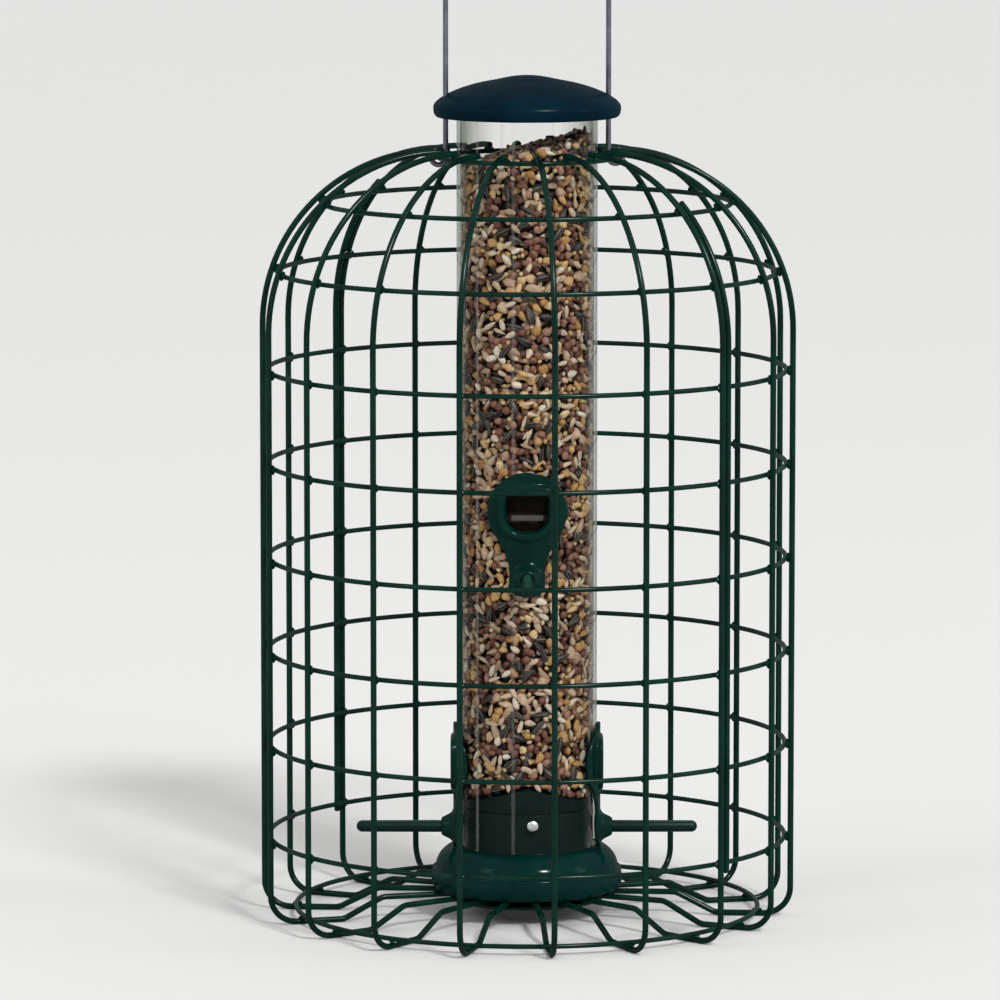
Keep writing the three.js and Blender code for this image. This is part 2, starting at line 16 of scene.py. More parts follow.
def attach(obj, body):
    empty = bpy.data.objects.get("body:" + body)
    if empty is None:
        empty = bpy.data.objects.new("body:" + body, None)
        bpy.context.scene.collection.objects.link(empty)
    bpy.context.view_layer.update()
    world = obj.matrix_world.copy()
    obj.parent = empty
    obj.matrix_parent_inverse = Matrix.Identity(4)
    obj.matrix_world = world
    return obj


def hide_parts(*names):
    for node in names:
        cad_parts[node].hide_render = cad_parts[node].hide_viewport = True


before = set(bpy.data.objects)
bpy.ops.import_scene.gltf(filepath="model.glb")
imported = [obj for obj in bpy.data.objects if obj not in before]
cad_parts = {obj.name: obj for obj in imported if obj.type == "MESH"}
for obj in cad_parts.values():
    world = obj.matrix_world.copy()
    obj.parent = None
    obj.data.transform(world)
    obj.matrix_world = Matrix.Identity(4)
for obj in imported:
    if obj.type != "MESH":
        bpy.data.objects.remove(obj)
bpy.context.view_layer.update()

MM = 0.001
TURN = 2 * pi
QUARTER = pi / 2
GAP = 0.3
BODY = "feeder"

# Fineness. SAME_PLACE is in metres
BEND_STEP = radians(3)
WIRE_SIDES = 16
HOOP_STEPS = 144
SMALL_RING_STEPS = 72
LATHE_STEPS = 128
PIN_STEPS = 32
ARC_STEPS = 8
SHARP = radians(38)
PORT_SHARP = radians(60)
CLEAR_CORNER = radians(25)
EASED_SHARE = 0.45
TINY = 1e-6
SAME_PLACE = 1e-7

# Cage. WIRE_CORNER and COAT_LOSS: the wires of the solids have six flat sides
RIB_WIRE = 2.8
HOOP_WIRE = 2.2
RIBS = 18
RIB_PHASE = radians(5.6)
SEAM_RIBS = {"front": 2, "back": 11}
CAGE_RADIUS = 120
TOP_RING_RADIUS = 40
SHOULDER = 268
RIB_OVERHANG = 1.6
FOOT_RADIUS = 12
FLOOR_HEIGHT = 10.6
FLOOR_KNEE = 66
FLOOR_SLOPE = radians(27)
KNEE_RADIUS = 8
FLOOR_RING_RADIUS = 30
LOWEST_HOOP = 37
HOOP_PITCH = 42.5
SIDE_HOOPS = 6
DOME_HOOP_ANGLES = (radians(47.5), radians(19.5))
FOOT_HOOP_INSET = 3
SEAM_OVERHANG = 4
SEAM_SIDESTEP = 3.53
DOME_SAG = 0.385
WIRE_CORNER = 1 / cos(pi / 6)
COAT_LOSS = 0.1
WIRE_END_RUN = 0.3
WIRE_END_SHARE = 0.7
DOME_RADIUS = CAGE_RADIUS - TOP_RING_RADIUS
HOOP_INSET = RIB_WIRE / 2 + GAP + HOOP_WIRE / 2 * WIRE_CORNER
TOP_RING_HEIGHT = SHOULDER + DOME_RADIUS - HOOP_INSET

# Tube and base
TUBE_RADIUS = 31.75
BORE_RADIUS = 30.15
TUBE_TOP = TOP_RING_HEIGHT + 24
BASE_BOTTOM = 12.3
BASE_LEDGE = 21.9
BASE_CROWN = 31.7
TUBE_BOTTOM = 32
PLUG_TOP = 50
PLUG_RADIUS = 29.85
PLUG_WALL = 3
SCREW_HEIGHT = 45.3
SCREW_BEARINGS = {"front": radians(4.5), "back": radians(184.5)}

# Ports and perches
PORT_BEARINGS = {"front": 0, "right": QUARTER, "back": pi, "left": -QUARTER}
PERCH_HEIGHTS = {"front": 158, "back": 158, "right": 40, "left": 40}
PERCH_DROP = 30
PORT_SEAT = 32.05
PORT_PLATE = 1.4
FRAME_PROUD = 2.6
MOUTH_HALF = 10.5
MOUTH_TOP = 8.5
MOUTH_BOTTOM = -9.5
MOUTH_CORNER = 4
PRISM_FOOT = 12.6
PRISM_REACH = 40.0
BAR_REACH = 29.4
BAR_DROP = 2.9
PERCH_REACH = 77.5

# Cap and bail
CAP_RIM = TUBE_TOP - 5.8
BAIL_WIRE = 2.5
BAIL_FOOT = 36.787
BAIL_SPRING = 482.12
BAIL_HOOK_TURN = radians(255)
BAIL_BEARING = RIB_PHASE + QUARTER

# The photograph's own view, in metres and degrees
CAMERA_PLACE = (-0.0122, -3.1455, 0.5854)
CAMERA_DOWN = 7.173
CAMERA_LENS = 252.2


# Meshes: each maker gives (points in millimetres, faces)


def grid_faces(rows, columns, closed_rows=False):
    """Quads over rows of points, where each row is a closed loop of columns points."""
    faces = []
    for row in range(rows if closed_rows else rows - 1):
        for column in range(columns):
            here, there = row * columns, (row + 1) % rows * columns
            after = (column + 1) % columns
            faces.append((here + column, here + after, there + after, there + column))
    return faces


def ball_faces(rows, columns):
    """The same, closed at each end by a pole. The two poles follow the rows."""
    faces = grid_faces(rows, columns)
    last, pole = (rows - 1) * columns, rows * columns
    for i in range(columns):
        after = (i + 1) % columns
        faces += [(after, i, pole), (last + i, last + after, pole + 1)]
    return faces


def closed(rows):
    """A solid over rows of points, with flat ends."""
    count, total = len(rows[0]), len(rows) * len(rows[0])
    ends = [tuple(range(count)), tuple(range(total - count, total))]
    return np.concatenate(rows), grid_faces(len(rows), count) + ends


def curve(start, pull, end, shares):
    """Points of a curve that leaves start towards pull and comes from there to end."""
    start, pull, end = (np.array(p, float) for p in (start, pull, end))
    return [tuple((1 - t) ** 2 * start + 2 * t * (1 - t) * pull + t * t * end) for t in shares]


def circle(count):
    """Angles evenly round."""
    return np.linspace(0, TURN, count, endpoint=False)


def turned(profile, steps=LATHE_STEPS):
    """A closed profile of (radius, height) points turned about the vertical axis."""
    turns = circle(steps)
    rows = [np.column_stack([r * np.sin(turns), -r * np.cos(turns), np.full(steps, z)]) for r, z in profile]
    return np.concatenate(rows), grid_faces(len(profile), steps, closed_rows=True)


def turned_outward(profile):
    """The same, turned about the +X axis: the second number of a point runs outward."""
    points, faces = turned(profile, PIN_STEPS)
    return points[:, [2, 0, 1]], faces


def arc(centre, radii, start, end, steps=ARC_STEPS):
    """Points of an arc in a profile, both ends included."""
    angles = np.linspace(start, end, steps + 1)
    return [(centre[0] + radii[0] * cos(a), centre[1] + radii[1] * sin(a)) for a in angles]


def rectangle(wide, tall):
    """Corners of a flat outline round the origin."""
    return [(-wide, -tall), (wide, -tall), (wide, tall), (-wide, tall)]


def eased(outline, size, steps=3):
    """A closed outline with each clear corner cut back by size and rounded."""
    points = [np.array(p, float) for p in outline]
    points = [p for i, p in enumerate(points) if np.linalg.norm(p - points[i - 1]) > TINY]
    rounded = []
    for i, point in enumerate(points):
        back, on = points[i - 1] - point, points[(i + 1) % len(points)] - point
        lengths = np.linalg.norm(back), np.linalg.norm(on)
        straight = -np.dot(back, on) / (lengths[0] * lengths[1])
        if straight > cos(CLEAR_CORNER) or point[0] < TINY:
            rounded.append(tuple(point))
            continue
        reach = min(size, EASED_SHARE * min(lengths))
        first, last = point + back / lengths[0] * reach, point + on / lengths[1] * reach
        rounded += curve(first, point, last, np.linspace(0, 1, steps + 1))
    return rounded


def softened(outline, chosen, rounds=12):
    """A closed outline whose chosen points are drawn towards their neighbours."""
    points = np.array(outline, float)
    free = np.array([chosen(*p) for p in points])[:, None]
    for _ in range(rounds):
        middle = (np.roll(points, 1, axis=0) + np.roll(points, -1, axis=0)) / 2
        points = np.where(free, (points + middle) / 2, points)
    return [tuple(p) for p in points]


def bent_wire(start, heading, parts):
    """Knots (outward, up, heading) of a wire in the upright plane. A part is (run,) or (radius, turn)."""
    x, z = start
    knots = [(x, z, heading)]
    for part in parts:
        if len(part) == 1:
            x, z = x + part[0] * cos(heading), z + part[0] * sin(heading)
            knots.append((x, z, heading))
            continue
        bend, turn = part
        side = math.copysign(1, turn)
        centre = x - side * bend * sin(heading), z + side * bend * cos(heading)
        for now in np.linspace(heading, heading + turn, math.ceil(abs(turn) / BEND_STEP) + 1)[1:]:
            x, z = centre[0] + side * bend * sin(now), centre[1] - side * bend * cos(now)
            knots.append((x, z, now))
        heading += turn
    return knots


def swept(knots, diameter):
    """A round wire along its knots, with cut ends that are eased."""
    diameter -= COAT_LOSS
    first, last = knots[0], knots[-1]
    sections = [(first, 0, WIRE_END_SHARE), (first, WIRE_END_RUN, 1), *((k, 0, 1) for k in knots[1:-1]),
                (last, -WIRE_END_RUN, 1), (last, 0, WIRE_END_SHARE)]
    turns = circle(WIRE_SIDES)
    rows = []
    for (x, z, heading), along, share in sections:
        c, s = cos(heading), sin(heading)
        middle = np.array([x, 0, z]) + np.array([c, 0, s]) * along * diameter / 2
        ring = np.outer(np.cos(turns), [-s, 0, c]) + np.outer(np.sin(turns), [0, 1, 0])
        rows.append(middle + ring * share * diameter / 2)
    return closed(rows)


def hoop(radius, height, steps=HOOP_STEPS):
    """A round ring of wire about the tube's axis."""
    return turned(arc((radius, height), (HOOP_WIRE / 2, HOOP_WIRE / 2), 0, TURN, WIRE_SIDES)[:-1], steps)


def lofted(outline, levels):
    """A solid between copies of an outline, drawn in at each level (height, inset)."""
    outline = np.array(outline, float)
    reach = np.linalg.norm(outline, axis=1)[:, None]
    return closed([
        np.column_stack([outline * (1 - inset / reach), np.full(len(outline), z)]) for z, inset in levels
    ])


def joined(*parts):
    """Several meshes as one."""
    points, faces, count = [], [], 0
    for some_points, some_faces in parts:
        points.append(some_points)
        faces += [tuple(i + count for i in face) for face in some_faces]
        count += len(some_points)
    return np.concatenate(points), faces


def faced(geometry, bearing, height=0):
    """A mesh turned so that its +X points outward at a bearing, and raised."""
    points, faces = geometry
    turn = bearing - QUARTER
    c, s = cos(turn), sin(turn)
    x, y, z = points.T
    return np.column_stack([c * x - s * y, s * x + c * y, z + height]), faces


def mesh_of(name, geometry, sharp=SHARP):
    """A smooth mesh, with a sharp edge where its faces turn by more than an angle."""
    points, faces = geometry
    mesh = bpy.data.meshes.new(name)
    mesh.from_pydata((np.asarray(points) * MM).tolist(), [], faces)
    work = bmesh.new()
    work.from_mesh(mesh)
    bmesh.ops.remove_doubles(work, verts=work.verts, dist=SAME_PLACE)
    bmesh.ops.recalc_face_normals(work, faces=work.faces)
    for face in work.faces:
        face.smooth = True
    work.to_mesh(mesh)
    work.free()
    mesh.set_sharp_from_angle(angle=sharp)
    return mesh


def placed(name, data):
    o = bpy.data.objects.new(name, data)
    bpy.context.scene.collection.objects.link(o)
    return o


def piece(name, mesh, material, slot, *stands_for, body=BODY, bearing=None):
    """A visible piece of the feeder, on its body, in place of the CAD nodes that it stands for."""
    o = placed(name, mesh)
    if not mesh.materials:
        mesh.materials.append(material)
    if bearing is not None:
        o.matrix_world = Matrix.Rotation(bearing - QUARTER, 4, "Z")
    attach(o, body)
    if stands_for:
        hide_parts(*stands_for)
    return o


def cut_by(mesh, *cutters):
    """The mesh less some closed solids."""
    o = placed("cut", mesh)
    used = [o]
    for geometry in cutters:
        cutter = placed("cutter", mesh_of("cutter", geometry))
        step = o.modifiers.new("cut", "BOOLEAN")
        step.operation, step.solver, step.object = "DIFFERENCE", "EXACT", cutter
        used.append(cutter)
    graph = bpy.context.evaluated_depsgraph_get()
    result = bpy.data.meshes.new_from_object(o.evaluated_get(graph))
    result.set_sharp_from_angle(angle=SHARP)
    for other in used:
        bpy.data.objects.remove(other)
    return result


# Distance fields: a moulding is drawn as distances, melted together, and skinned with a net


def melt(a, b, size):
    """The union of two distance fields, with a fillet."""
    share = np.clip(0.5 + 0.5 * (b - a) / size, 0, 1)
    return b + (a - b) * share - size * share * (1 - share)


def both(a, b, size=0.01):
    """The overlap of two distance fields, with its edge rounded."""
    return -melt(-a, -b, size)


def outline_distance(outline, x, y):
    """Signed distance to a closed outline, negative inside."""
    x, y = np.broadcast_arrays(x, y)
    ends = np.array(outline)
    starts = np.roll(ends, 1, axis=0)
    best = np.full(x.shape, np.inf)
    inside = np.zeros(x.shape, bool)
    for (ax, ay), (bx, by) in zip(starts, ends):
        ex, ey, px, py = bx - ax, by - ay, x - ax, y - ay
        share = np.clip((px * ex + py * ey) / max(ex * ex + ey * ey, 1e-12), 0, 1)
        best = np.minimum(best, (px - share * ex) ** 2 + (py - share * ey) ** 2)
        crosses = (ay > y) != (by > y)
        with np.errstate(divide="ignore", invalid="ignore"):
            at = ax + ex * (y - ay) / ey
        inside ^= crosses & (x < at)
    return np.where(inside, -1, 1) * np.sqrt(best)


def net(field, low, high, step, rounds=3, least_slope=0.2):
    """A skin of quads over the places where a field is zero, its points moved onto them."""
    axes = [np.arange(a, b + step, step) for a, b in zip(low, high)]
    values = field(*np.meshgrid(*axes, indexing="ij", sparse=True))
    shape = tuple(n - 1 for n in values.shape)
    total, count = np.zeros((*shape, 3)), np.zeros(shape)

    def corner(offset):
        return values[tuple(slice(o, n + o) for o, n in zip(offset, shape))]

    for axis in range(3):
        others = [i for i in range(3) if i != axis]
        for sides in ((0, 0), (0, 1), (1, 0), (1, 1)):
            start = np.zeros(3, int)
            start[others] = sides
            end = start.copy()
            end[axis] = 1
            a, b = corner(start), corner(end)
            crossed = (a < 0) != (b < 0)
            share = np.where(crossed, a / np.where(crossed, a - b, 1), 0)
            for i in range(3):
                total[..., i] += crossed * (start[i] + (share if i == axis else 0))
            count += crossed
    used = count > 0
    number = np.full(shape, -1)
    number[used] = np.arange(used.sum())
    unit = np.eye(3, dtype=int)
    points = np.array(low) + step * (np.argwhere(used) + total[used] / count[used][:, None])
    faces = []
    for axis in range(3):
        u, v = (axis + 1) % 3, (axis + 2) % 3
        a = np.take(values, range(values.shape[axis] - 1), axis)
        b = np.take(values, range(1, values.shape[axis]), axis)
        for at in np.argwhere((a < 0) != (b < 0)):
            if at[u] < 1 or at[v] < 1 or at[u] >= shape[u] or at[v] >= shape[v]:
                continue
            around = ((1, 1), (0, 1), (0, 0), (1, 0))
            loop = [int(number[tuple(at - du * unit[u] - dv * unit[v])]) for du, dv in around]
            faces.append(tuple(loop if a[tuple(at)] < 0 else loop[::-1]))
    for _ in range(rounds):
        near, nudge = field(*points.T), step / 20
        slope = np.stack([field(*(points + nudge * unit[i]).T) - near for i in range(3)], 1) / nudge
        size = np.maximum((slope ** 2).sum(1), least_slope)
        points -= np.clip(near / size, -step / 2, step / 2)[:, None] * slope
    return points, faces


# Materials

# Most of what a noise texture gives lies between these
NOISE_LOW = 0.3
NOISE_HIGH = 0.7


class Nodes:
    """The nodes of a material or a world."""

    def __init__(self, owner):
        owner.use_nodes = True
        self.tree = owner.node_tree

    def node(self, kind, *outputs, **settings):
        """A node that takes other nodes' outputs, in the order of its sockets."""
        made = self.tree.nodes.new(kind)
        for key, value in settings.items():
            if key in made.inputs:
                made.inputs[key].default_value = value
            else:
                setattr(made, key, value)
        for output, target in zip(outputs, made.inputs):
            self.link(output, target)
        return made

    def link(self, output, target):
        self.tree.links.new(output, target)

    def maths(self, operation, a, b):
        return self.node("ShaderNodeMath", a, b, operation=operation).outputs[0]

    def ranged(self, value, low, high, start=0.0, end=1.0, shape="LINEAR"):
        """A value that runs from low to high while the given one runs from start to end."""
        made = self.node("ShaderNodeMapRange", value, interpolation_type=shape)
        for i, number in zip((1, 2, 3, 4), (start, end, low, high)):
            made.inputs[i].default_value = number
        return made.outputs[0]


class Finish(Nodes):
    """A material built from nodes on the piece's own coordinates."""

    def __init__(self, name, **plain):
        self.material = bpy.data.materials.new(name)
        super().__init__(self.material)
        self.shader = self.tree.nodes["Principled BSDF"]
        for socket, value in plain.items():
            self.shader.inputs[socket.replace("_", " ")].default_value = value
        self.place = self.node("ShaderNodeTexCoord").outputs["Object"]

    def split(self, vector):
        return self.node("ShaderNodeSeparateXYZ", vector).outputs

    def attribute(self, name):
        return self.node("ShaderNodeAttribute", attribute_name=name).outputs

    def noise(self, scale, detail=3.0, roughness=0.55, place=None):
        settings = {"Scale": scale, "Detail": detail, "Roughness": roughness}
        return self.node("ShaderNodeTexNoise", place or self.place, **settings).outputs["Fac"]

    def ramp(self, value, stops):
        made = self.node("ShaderNodeValToRGB", value)
        elements = made.color_ramp.elements
        while len(elements) < len(stops):
            elements.new(0.5)
        for element, (at, colour) in zip(elements, stops):
            element.position = at
            element.color = (*colour, 1)
        return made.outputs["Color"]

    def mixed(self, share, colour, other):
        """A colour with a share of another, plain one."""
        made = self.node("ShaderNodeMix", data_type="RGBA")
        sockets = {socket.name: socket for socket in made.inputs if socket.enabled}
        self.link(share, sockets["Factor"])
        self.link(colour, sockets["A"])
        sockets["B"].default_value = (*other, 1)
        return next(socket for socket in made.outputs if socket.enabled)

    def colour(self, output):
        self.link(output, self.shader.inputs["Base Color"])

    def rough(self, value, low, high):
        self.link(self.ranged(value, low, high, NOISE_LOW, NOISE_HIGH), self.shader.inputs["Roughness"])

    def bump(self, value, height):
        made = self.node("ShaderNodeBump", Strength=1.0, Distance=height * MM)
        self.link(value, made.inputs["Height"])
        self.link(made.outputs["Normal"], self.shader.inputs["Normal"])


def coated(name, dark, light, patch, grain, height, rough=(0.5, 0.6), coat=(), changed=None, specular=0.0):
    """A coating or moulding whose colour, gloss and surface vary a little. coat: its weight and roughness.
    changed: painted shade or painted highlight laid over its colour.
    """
    finish = Finish(name, Specular_IOR_Level=specular, **dict(zip(("Coat_Weight", "Coat_Roughness"), coat)))
    paint = finish.ramp(finish.noise(patch), [(NOISE_LOW, dark), (NOISE_HIGH, light)])
    finish.colour(changed(finish, paint) if changed else paint)
    finish.rough(finish.noise(patch * 2.3, 5.0), *rough)
    finish.bump(finish.noise(grain, 2.0), height)
    return finish.material


def painted_shade_inside(finish, paint):
    """Painted shade: the base's plug, inside the tube, is painted darker than its dome."""
    height = finish.split(finish.place)["Z"]
    inside = finish.ranged(height, 0.0, 1.0, BASE_CROWN * MM, (BASE_CROWN + 1) * MM)
    return finish.mixed(inside, paint, PLUG_SHADE_GREEN)


def painted_highlight_on_top(finish, paint):
    """Painted highlight: the top of a perch is painted paler, where light from above falls on it."""
    upward = finish.split(finish.node("ShaderNodeNewGeometry").outputs["Normal"])["Z"]
    return finish.mixed(finish.ranged(upward, 0.0, TOP_HIGHLIGHT_SHARE, *TOP_HIGHLIGHT_SLOPES), paint, TOP_HIGHLIGHT_GREEN)


def painted_shade_ends(finish, paint):
    """Painted shade: the bar in a port's mouth is painted dark towards its ends, where the mouth's sides
    shade it.
    """
    away = finish.node("ShaderNodeVectorMath", finish.place, operation="ABSOLUTE")
    split = finish.split(away.outputs[0])
    end = finish.ranged(finish.maths("MINIMUM", split["X"], split["Y"]), 0.0, 0.9, *BAR_FADE)
    return finish.mixed(end, paint, BAR_SHADE)


# Painted shade and painted highlight: their colours and where they set in
PLUG_SHADE_GREEN = (0.0082, 0.0195, 0.0172)
TOP_HIGHLIGHT_GREEN = (0.022, 0.075, 0.052)
TOP_HIGHLIGHT_SHARE = 0.85
TOP_HIGHLIGHT_SLOPES = (0.7, 0.98)
BAR_SHADE = (0.004, 0.004, 0.004)
BAR_FADE = (6.6 * MM, 7.6 * MM)

cage_coating = coated("cage_coating", (0.0008, 0.013, 0.009), (0.0022, 0.03, 0.02), 60, 900, 0.02,
                      coat=(0.16, 0.2))
base_paint = coated("base_paint", (0.0006, 0.016, 0.014), (0.0016, 0.027, 0.022), 35, 420, 0.012,
                    coat=(0.1, 0.12), changed=painted_shade_inside)
cap_paint = coated("cap_paint", (0.0002, 0.008, 0.016), (0.0008, 0.0155, 0.027), 35, 420, 0.012,
                   coat=(0.06, 0.26))
port_moulding = coated("port_moulding", (0.0008, 0.016, 0.0115), (0.0022, 0.028, 0.02), 80, 700, 0.015,
                       coat=(0.12, 0.15))
perch_moulding = coated("perch_moulding", (0.0006, 0.012, 0.0095), (0.0018, 0.022, 0.017), 80, 700, 0.015,
                        (0.45, 0.6), (0.2, 0.38), painted_highlight_on_top)
bar_steel = coated("bar_steel", (0.078, 0.072, 0.071), (0.1, 0.093, 0.091), 250, 1400, 0.02, (0.35, 0.5),
                   changed=painted_shade_ends)


def drawn_metal(name, dark, light, rough):
    """Bright metal with fine marks and dulled patches."""
    finish = Finish(name, Metallic=1.0)
    finish.colour(finish.ramp(finish.noise(180, 5.0), [(NOISE_LOW, dark), (NOISE_HIGH, light)]))
    finish.rough(finish.noise(400, 6.0), *rough)
    finish.bump(finish.noise(2200, 2.0), 0.01)
    return finish.material


screw_steel = drawn_metal("screw_steel", (0.52, 0.53, 0.54), (0.7, 0.7, 0.71), (0.2, 0.34))
bail_wire = drawn_metal("bail_wire", (0.085, 0.088, 0.11), (0.155, 0.16, 0.19), (0.32, 0.5))


# Bearing and strength of each haze line along the tube: lines left when it was drawn, which also paint
# reflection streaks, the strongest at the front
DRAW_LINES_AND_STREAKS = [(-44.9, 0.17), (-11.4, 0.09), (63, 0.05), (112, 0.09), (158, 0.06), (201, 0.1), (262, 0.07)]
LINE_REACH = 1.3 * MM

# What the wall lets through, by how far it is seen from the side, and where its haze and mirror set in. The
# wall lets less through towards its edges partly as a real wall does and partly as painted shade on the seed
# behind
WALL_TINT = [(0.12, (0.985, 0.985, 0.98)), (0.45, (0.83, 0.84, 0.82)), (0.92, (0.49, 0.51, 0.48))]
HAZE_SHARE = (0.0, 0.02, 0.42, 0.8)
MIRROR_SHARE = (0.0, 0.24, 0.44, 1.0)


def clear_plastic():
    """Clear tube wall: open, denser and more mirror-like towards its edges, with fine lines along it. The
    denser edges are partly painted shade; the lines are haze that paints reflection streaks, set as lines
    left when it was drawn.
    """
    finish = Finish("clear_tube")
    nodes = finish.tree.nodes
    nodes.remove(finish.shader)
    facing = finish.node("ShaderNodeLayerWeight", Blend=0.5).outputs["Facing"]
    wall = finish.node("ShaderNodeBsdfTransparent", finish.ramp(facing, WALL_TINT))
    mirror = finish.node("ShaderNodeBsdfGlossy", Color=(1, 1, 1, 1), Roughness=0.07)
    haze = finish.node("ShaderNodeBsdfDiffuse", Color=(0.7, 0.69, 0.66, 1))
    haze_share = finish.ranged(facing, *HAZE_SHARE)
    flat = finish.node("ShaderNodeVectorMath", finish.place, operation="MULTIPLY")
    flat.inputs[1].default_value = (1, 1, 0)
    for degrees, strength in DRAW_LINES_AND_STREAKS:
        bearing, radius = radians(degrees), TUBE_RADIUS * MM
        away = finish.node("ShaderNodeVectorMath", flat.outputs[0], operation="DISTANCE")
        away.inputs[1].default_value = (sin(bearing) * radius, -cos(bearing) * radius, 0)
        line = finish.ranged(away.outputs["Value"], strength, 0.0, 0.0, LINE_REACH, "SMOOTHSTEP")
        haze_share = finish.maths("ADD", haze_share, line)
    for share, other in ((haze_share, haze), (finish.ranged(facing, *MIRROR_SHARE, "SMOOTHSTEP"), mirror)):
        wall = finish.node("ShaderNodeMixShader", share, wall.outputs[0], other.outputs[0])
    finish.link(wall.outputs[0], nodes["Material Output"].inputs["Surface"])
    return finish.material


clear_tube = clear_plastic()

SEED_GRAIN = 2.5
STRIPES = 6


def seed_finish(name, tones, rough, stripes):
    """A seed's colour goes by its own tone, with blotches and, on some, stripes along it."""
    finish = Finish("seed_" + name, Specular_IOR_Level=0.35)
    own = finish.attribute("own")["Vector"]
    plain = finish.ramp(finish.attribute("tone")["Fac"], tones)
    made = finish.node("ShaderNodeVectorMath", plain, operation="SCALE")
    blotch = finish.ranged(finish.noise(SEED_GRAIN, 4.0, 0.6, own), 0.84, 1.68, NOISE_LOW, NOISE_HIGH)
    finish.link(blotch, made.inputs["Scale"])
    colour = made.outputs[0]
    if stripes:
        turn = finish.ranged(finish.attribute("turn")["Fac"], 0, STRIPES * TURN)
        wave = finish.node("ShaderNodeMath", turn, operation="SINE")
        colour = finish.mixed(finish.ranged(wave.outputs[0], 0, 0.75, 0.55, 0.9), colour, stripes)
    finish.colour(colour)
    finish.rough(finish.noise(SEED_GRAIN * 2, 3.0, 0.5, own), *rough)
    finish.bump(finish.noise(SEED_GRAIN * 3, 3.0, 0.6, own), 0.12)
    return finish.material


# Cage


def rib_route():
    start = FLOOR_RING_RADIUS - RIB_OVERHANG
    knee_rise, knee_run = KNEE_RADIUS * (1 - cos(FLOOR_SLOPE)), KNEE_RADIUS * sin(FLOOR_SLOPE)
    slope_rise = FLOOR_HEIGHT - RIB_WIRE / 2 - 2 * knee_rise
    slope_run = slope_rise / tan(FLOOR_SLOPE)
    return bent_wire((start, FLOOR_HEIGHT), 0, [
        (FLOOR_KNEE - start,),
        (KNEE_RADIUS, -FLOOR_SLOPE),
        (slope_rise / sin(FLOOR_SLOPE),),
        (KNEE_RADIUS, FLOOR_SLOPE),
        (CAGE_RADIUS - FOOT_RADIUS - FLOOR_KNEE - 2 * knee_run - slope_run,),
        (FOOT_RADIUS, QUARTER),
        (SHOULDER - RIB_WIRE / 2 - FOOT_RADIUS,),
        (DOME_RADIUS, QUARTER),
        (RIB_OVERHANG,),
    ])


def hoop_places():
    """(name, radius, height, how far the ribs lean in there) of each hoop, from the top."""
    reach = DOME_RADIUS - HOOP_INSET - DOME_SAG
    places = []
    for angle in DOME_HOOP_ANGLES:
        places.append((TOP_RING_RADIUS + reach * cos(angle), SHOULDER + reach * sin(angle), angle))
    for i in reversed(range(SIDE_HOOPS)):
        places.append((CAGE_RADIUS - HOOP_INSET, LOWEST_HOOP + HOOP_PITCH * i, 0))
    places.append((CAGE_RADIUS - FOOT_RADIUS - FOOT_HOOP_INSET, RIB_WIRE + GAP + HOOP_WIRE / 2, -QUARTER))
    return [(f"ring_{i + 1}", *place) for i, place in enumerate(places)]


def fillet_blob(radius, height, lean):
    """The coating's web in the corners where a rib that leans in by an angle crosses a hoop."""
    across, along, deep, waist = 2.5, 2.3, 1.15, 0.3
    u, v = np.meshgrid(circle(12), np.linspace(-QUARTER, QUARTER, 7)[1:-1])
    squeeze = 1 - waist * np.sin(2 * u) ** 2
    side, up = np.cos(v) * np.cos(u) * across * squeeze, np.cos(v) * np.sin(u) * along * squeeze
    local = np.column_stack([side.ravel(), up.ravel(), (np.sin(v) * deep).ravel()])
    local = np.concatenate([local, [[0, 0, -deep], [0, 0, deep]]])
    c, s = cos(lean), sin(lean)
    outward = radius + local[:, 2] * c - local[:, 1] * s
    upward = height + local[:, 2] * s + local[:, 1] * c
    return np.column_stack([outward, local[:, 0], upward]), ball_faces(*u.shape)


def build_cage():
    """Each wire stands for the CAD wire of its name. The fillets are one piece more."""
    def wire(name, mesh, bearing=None):
        piece(name, mesh, cage_coating, "cage_coating", f"cage_{name}", bearing=bearing)

    rib = mesh_of("rib", swept(rib_route(), RIB_WIRE))
    bearings = [RIB_PHASE + TURN * i / RIBS for i in range(RIBS)]
    for i, bearing in enumerate(bearings):
        wire(f"rib_{i + 1:02d}", rib, bearing)
    foot = LOWEST_HOOP - SEAM_OVERHANG
    route = bent_wire((CAGE_RADIUS, foot), QUARTER, [
        (SHOULDER - foot,),
        (DOME_RADIUS, DOME_HOOP_ANGLES[0] + SEAM_OVERHANG / DOME_RADIUS),
    ])
    points, faces = swept(route, RIB_WIRE)
    seam = mesh_of("seam", (points + [0, SEAM_SIDESTEP, 0], faces))
    for side, index in SEAM_RIBS.items():
        wire(f"seam_wire_{side}", seam, bearings[index])
    blobs = []
    for name, radius, height, lean in hoop_places():
        wire(name, mesh_of(name, hoop(radius, height)))
        out = HOOP_WIRE / 2 + GAP / 2
        blob = fillet_blob(radius + out * cos(lean), height + out * sin(lean), lean)
        blobs += [faced(blob, bearing) for bearing in bearings]
        if lean >= 0:
            blobs += [faced(blob, bearings[i] + SEAM_SIDESTEP / radius) for i in SEAM_RIBS.values()]
    floor_ring_height = FLOOR_HEIGHT + RIB_WIRE / 2 + GAP + HOOP_WIRE / 2
    for name, radius, height, lean in (
        ("top_ring", TOP_RING_RADIUS, TOP_RING_HEIGHT, QUARTER),
        ("floor_ring", FLOOR_RING_RADIUS, floor_ring_height, -QUARTER),
    ):
        wire(name, mesh_of(name, hoop(radius, height, SMALL_RING_STEPS)))
        blob = fillet_blob(radius, height + sin(lean) * (HOOP_WIRE + GAP) / 2, lean)
        blobs += [faced(blob, bearing) for bearing in bearings]
    piece("weld_fillets", mesh_of("weld_fillets", joined(*blobs)), cage_coating, "cage_coating")


# Tube, base and fastening


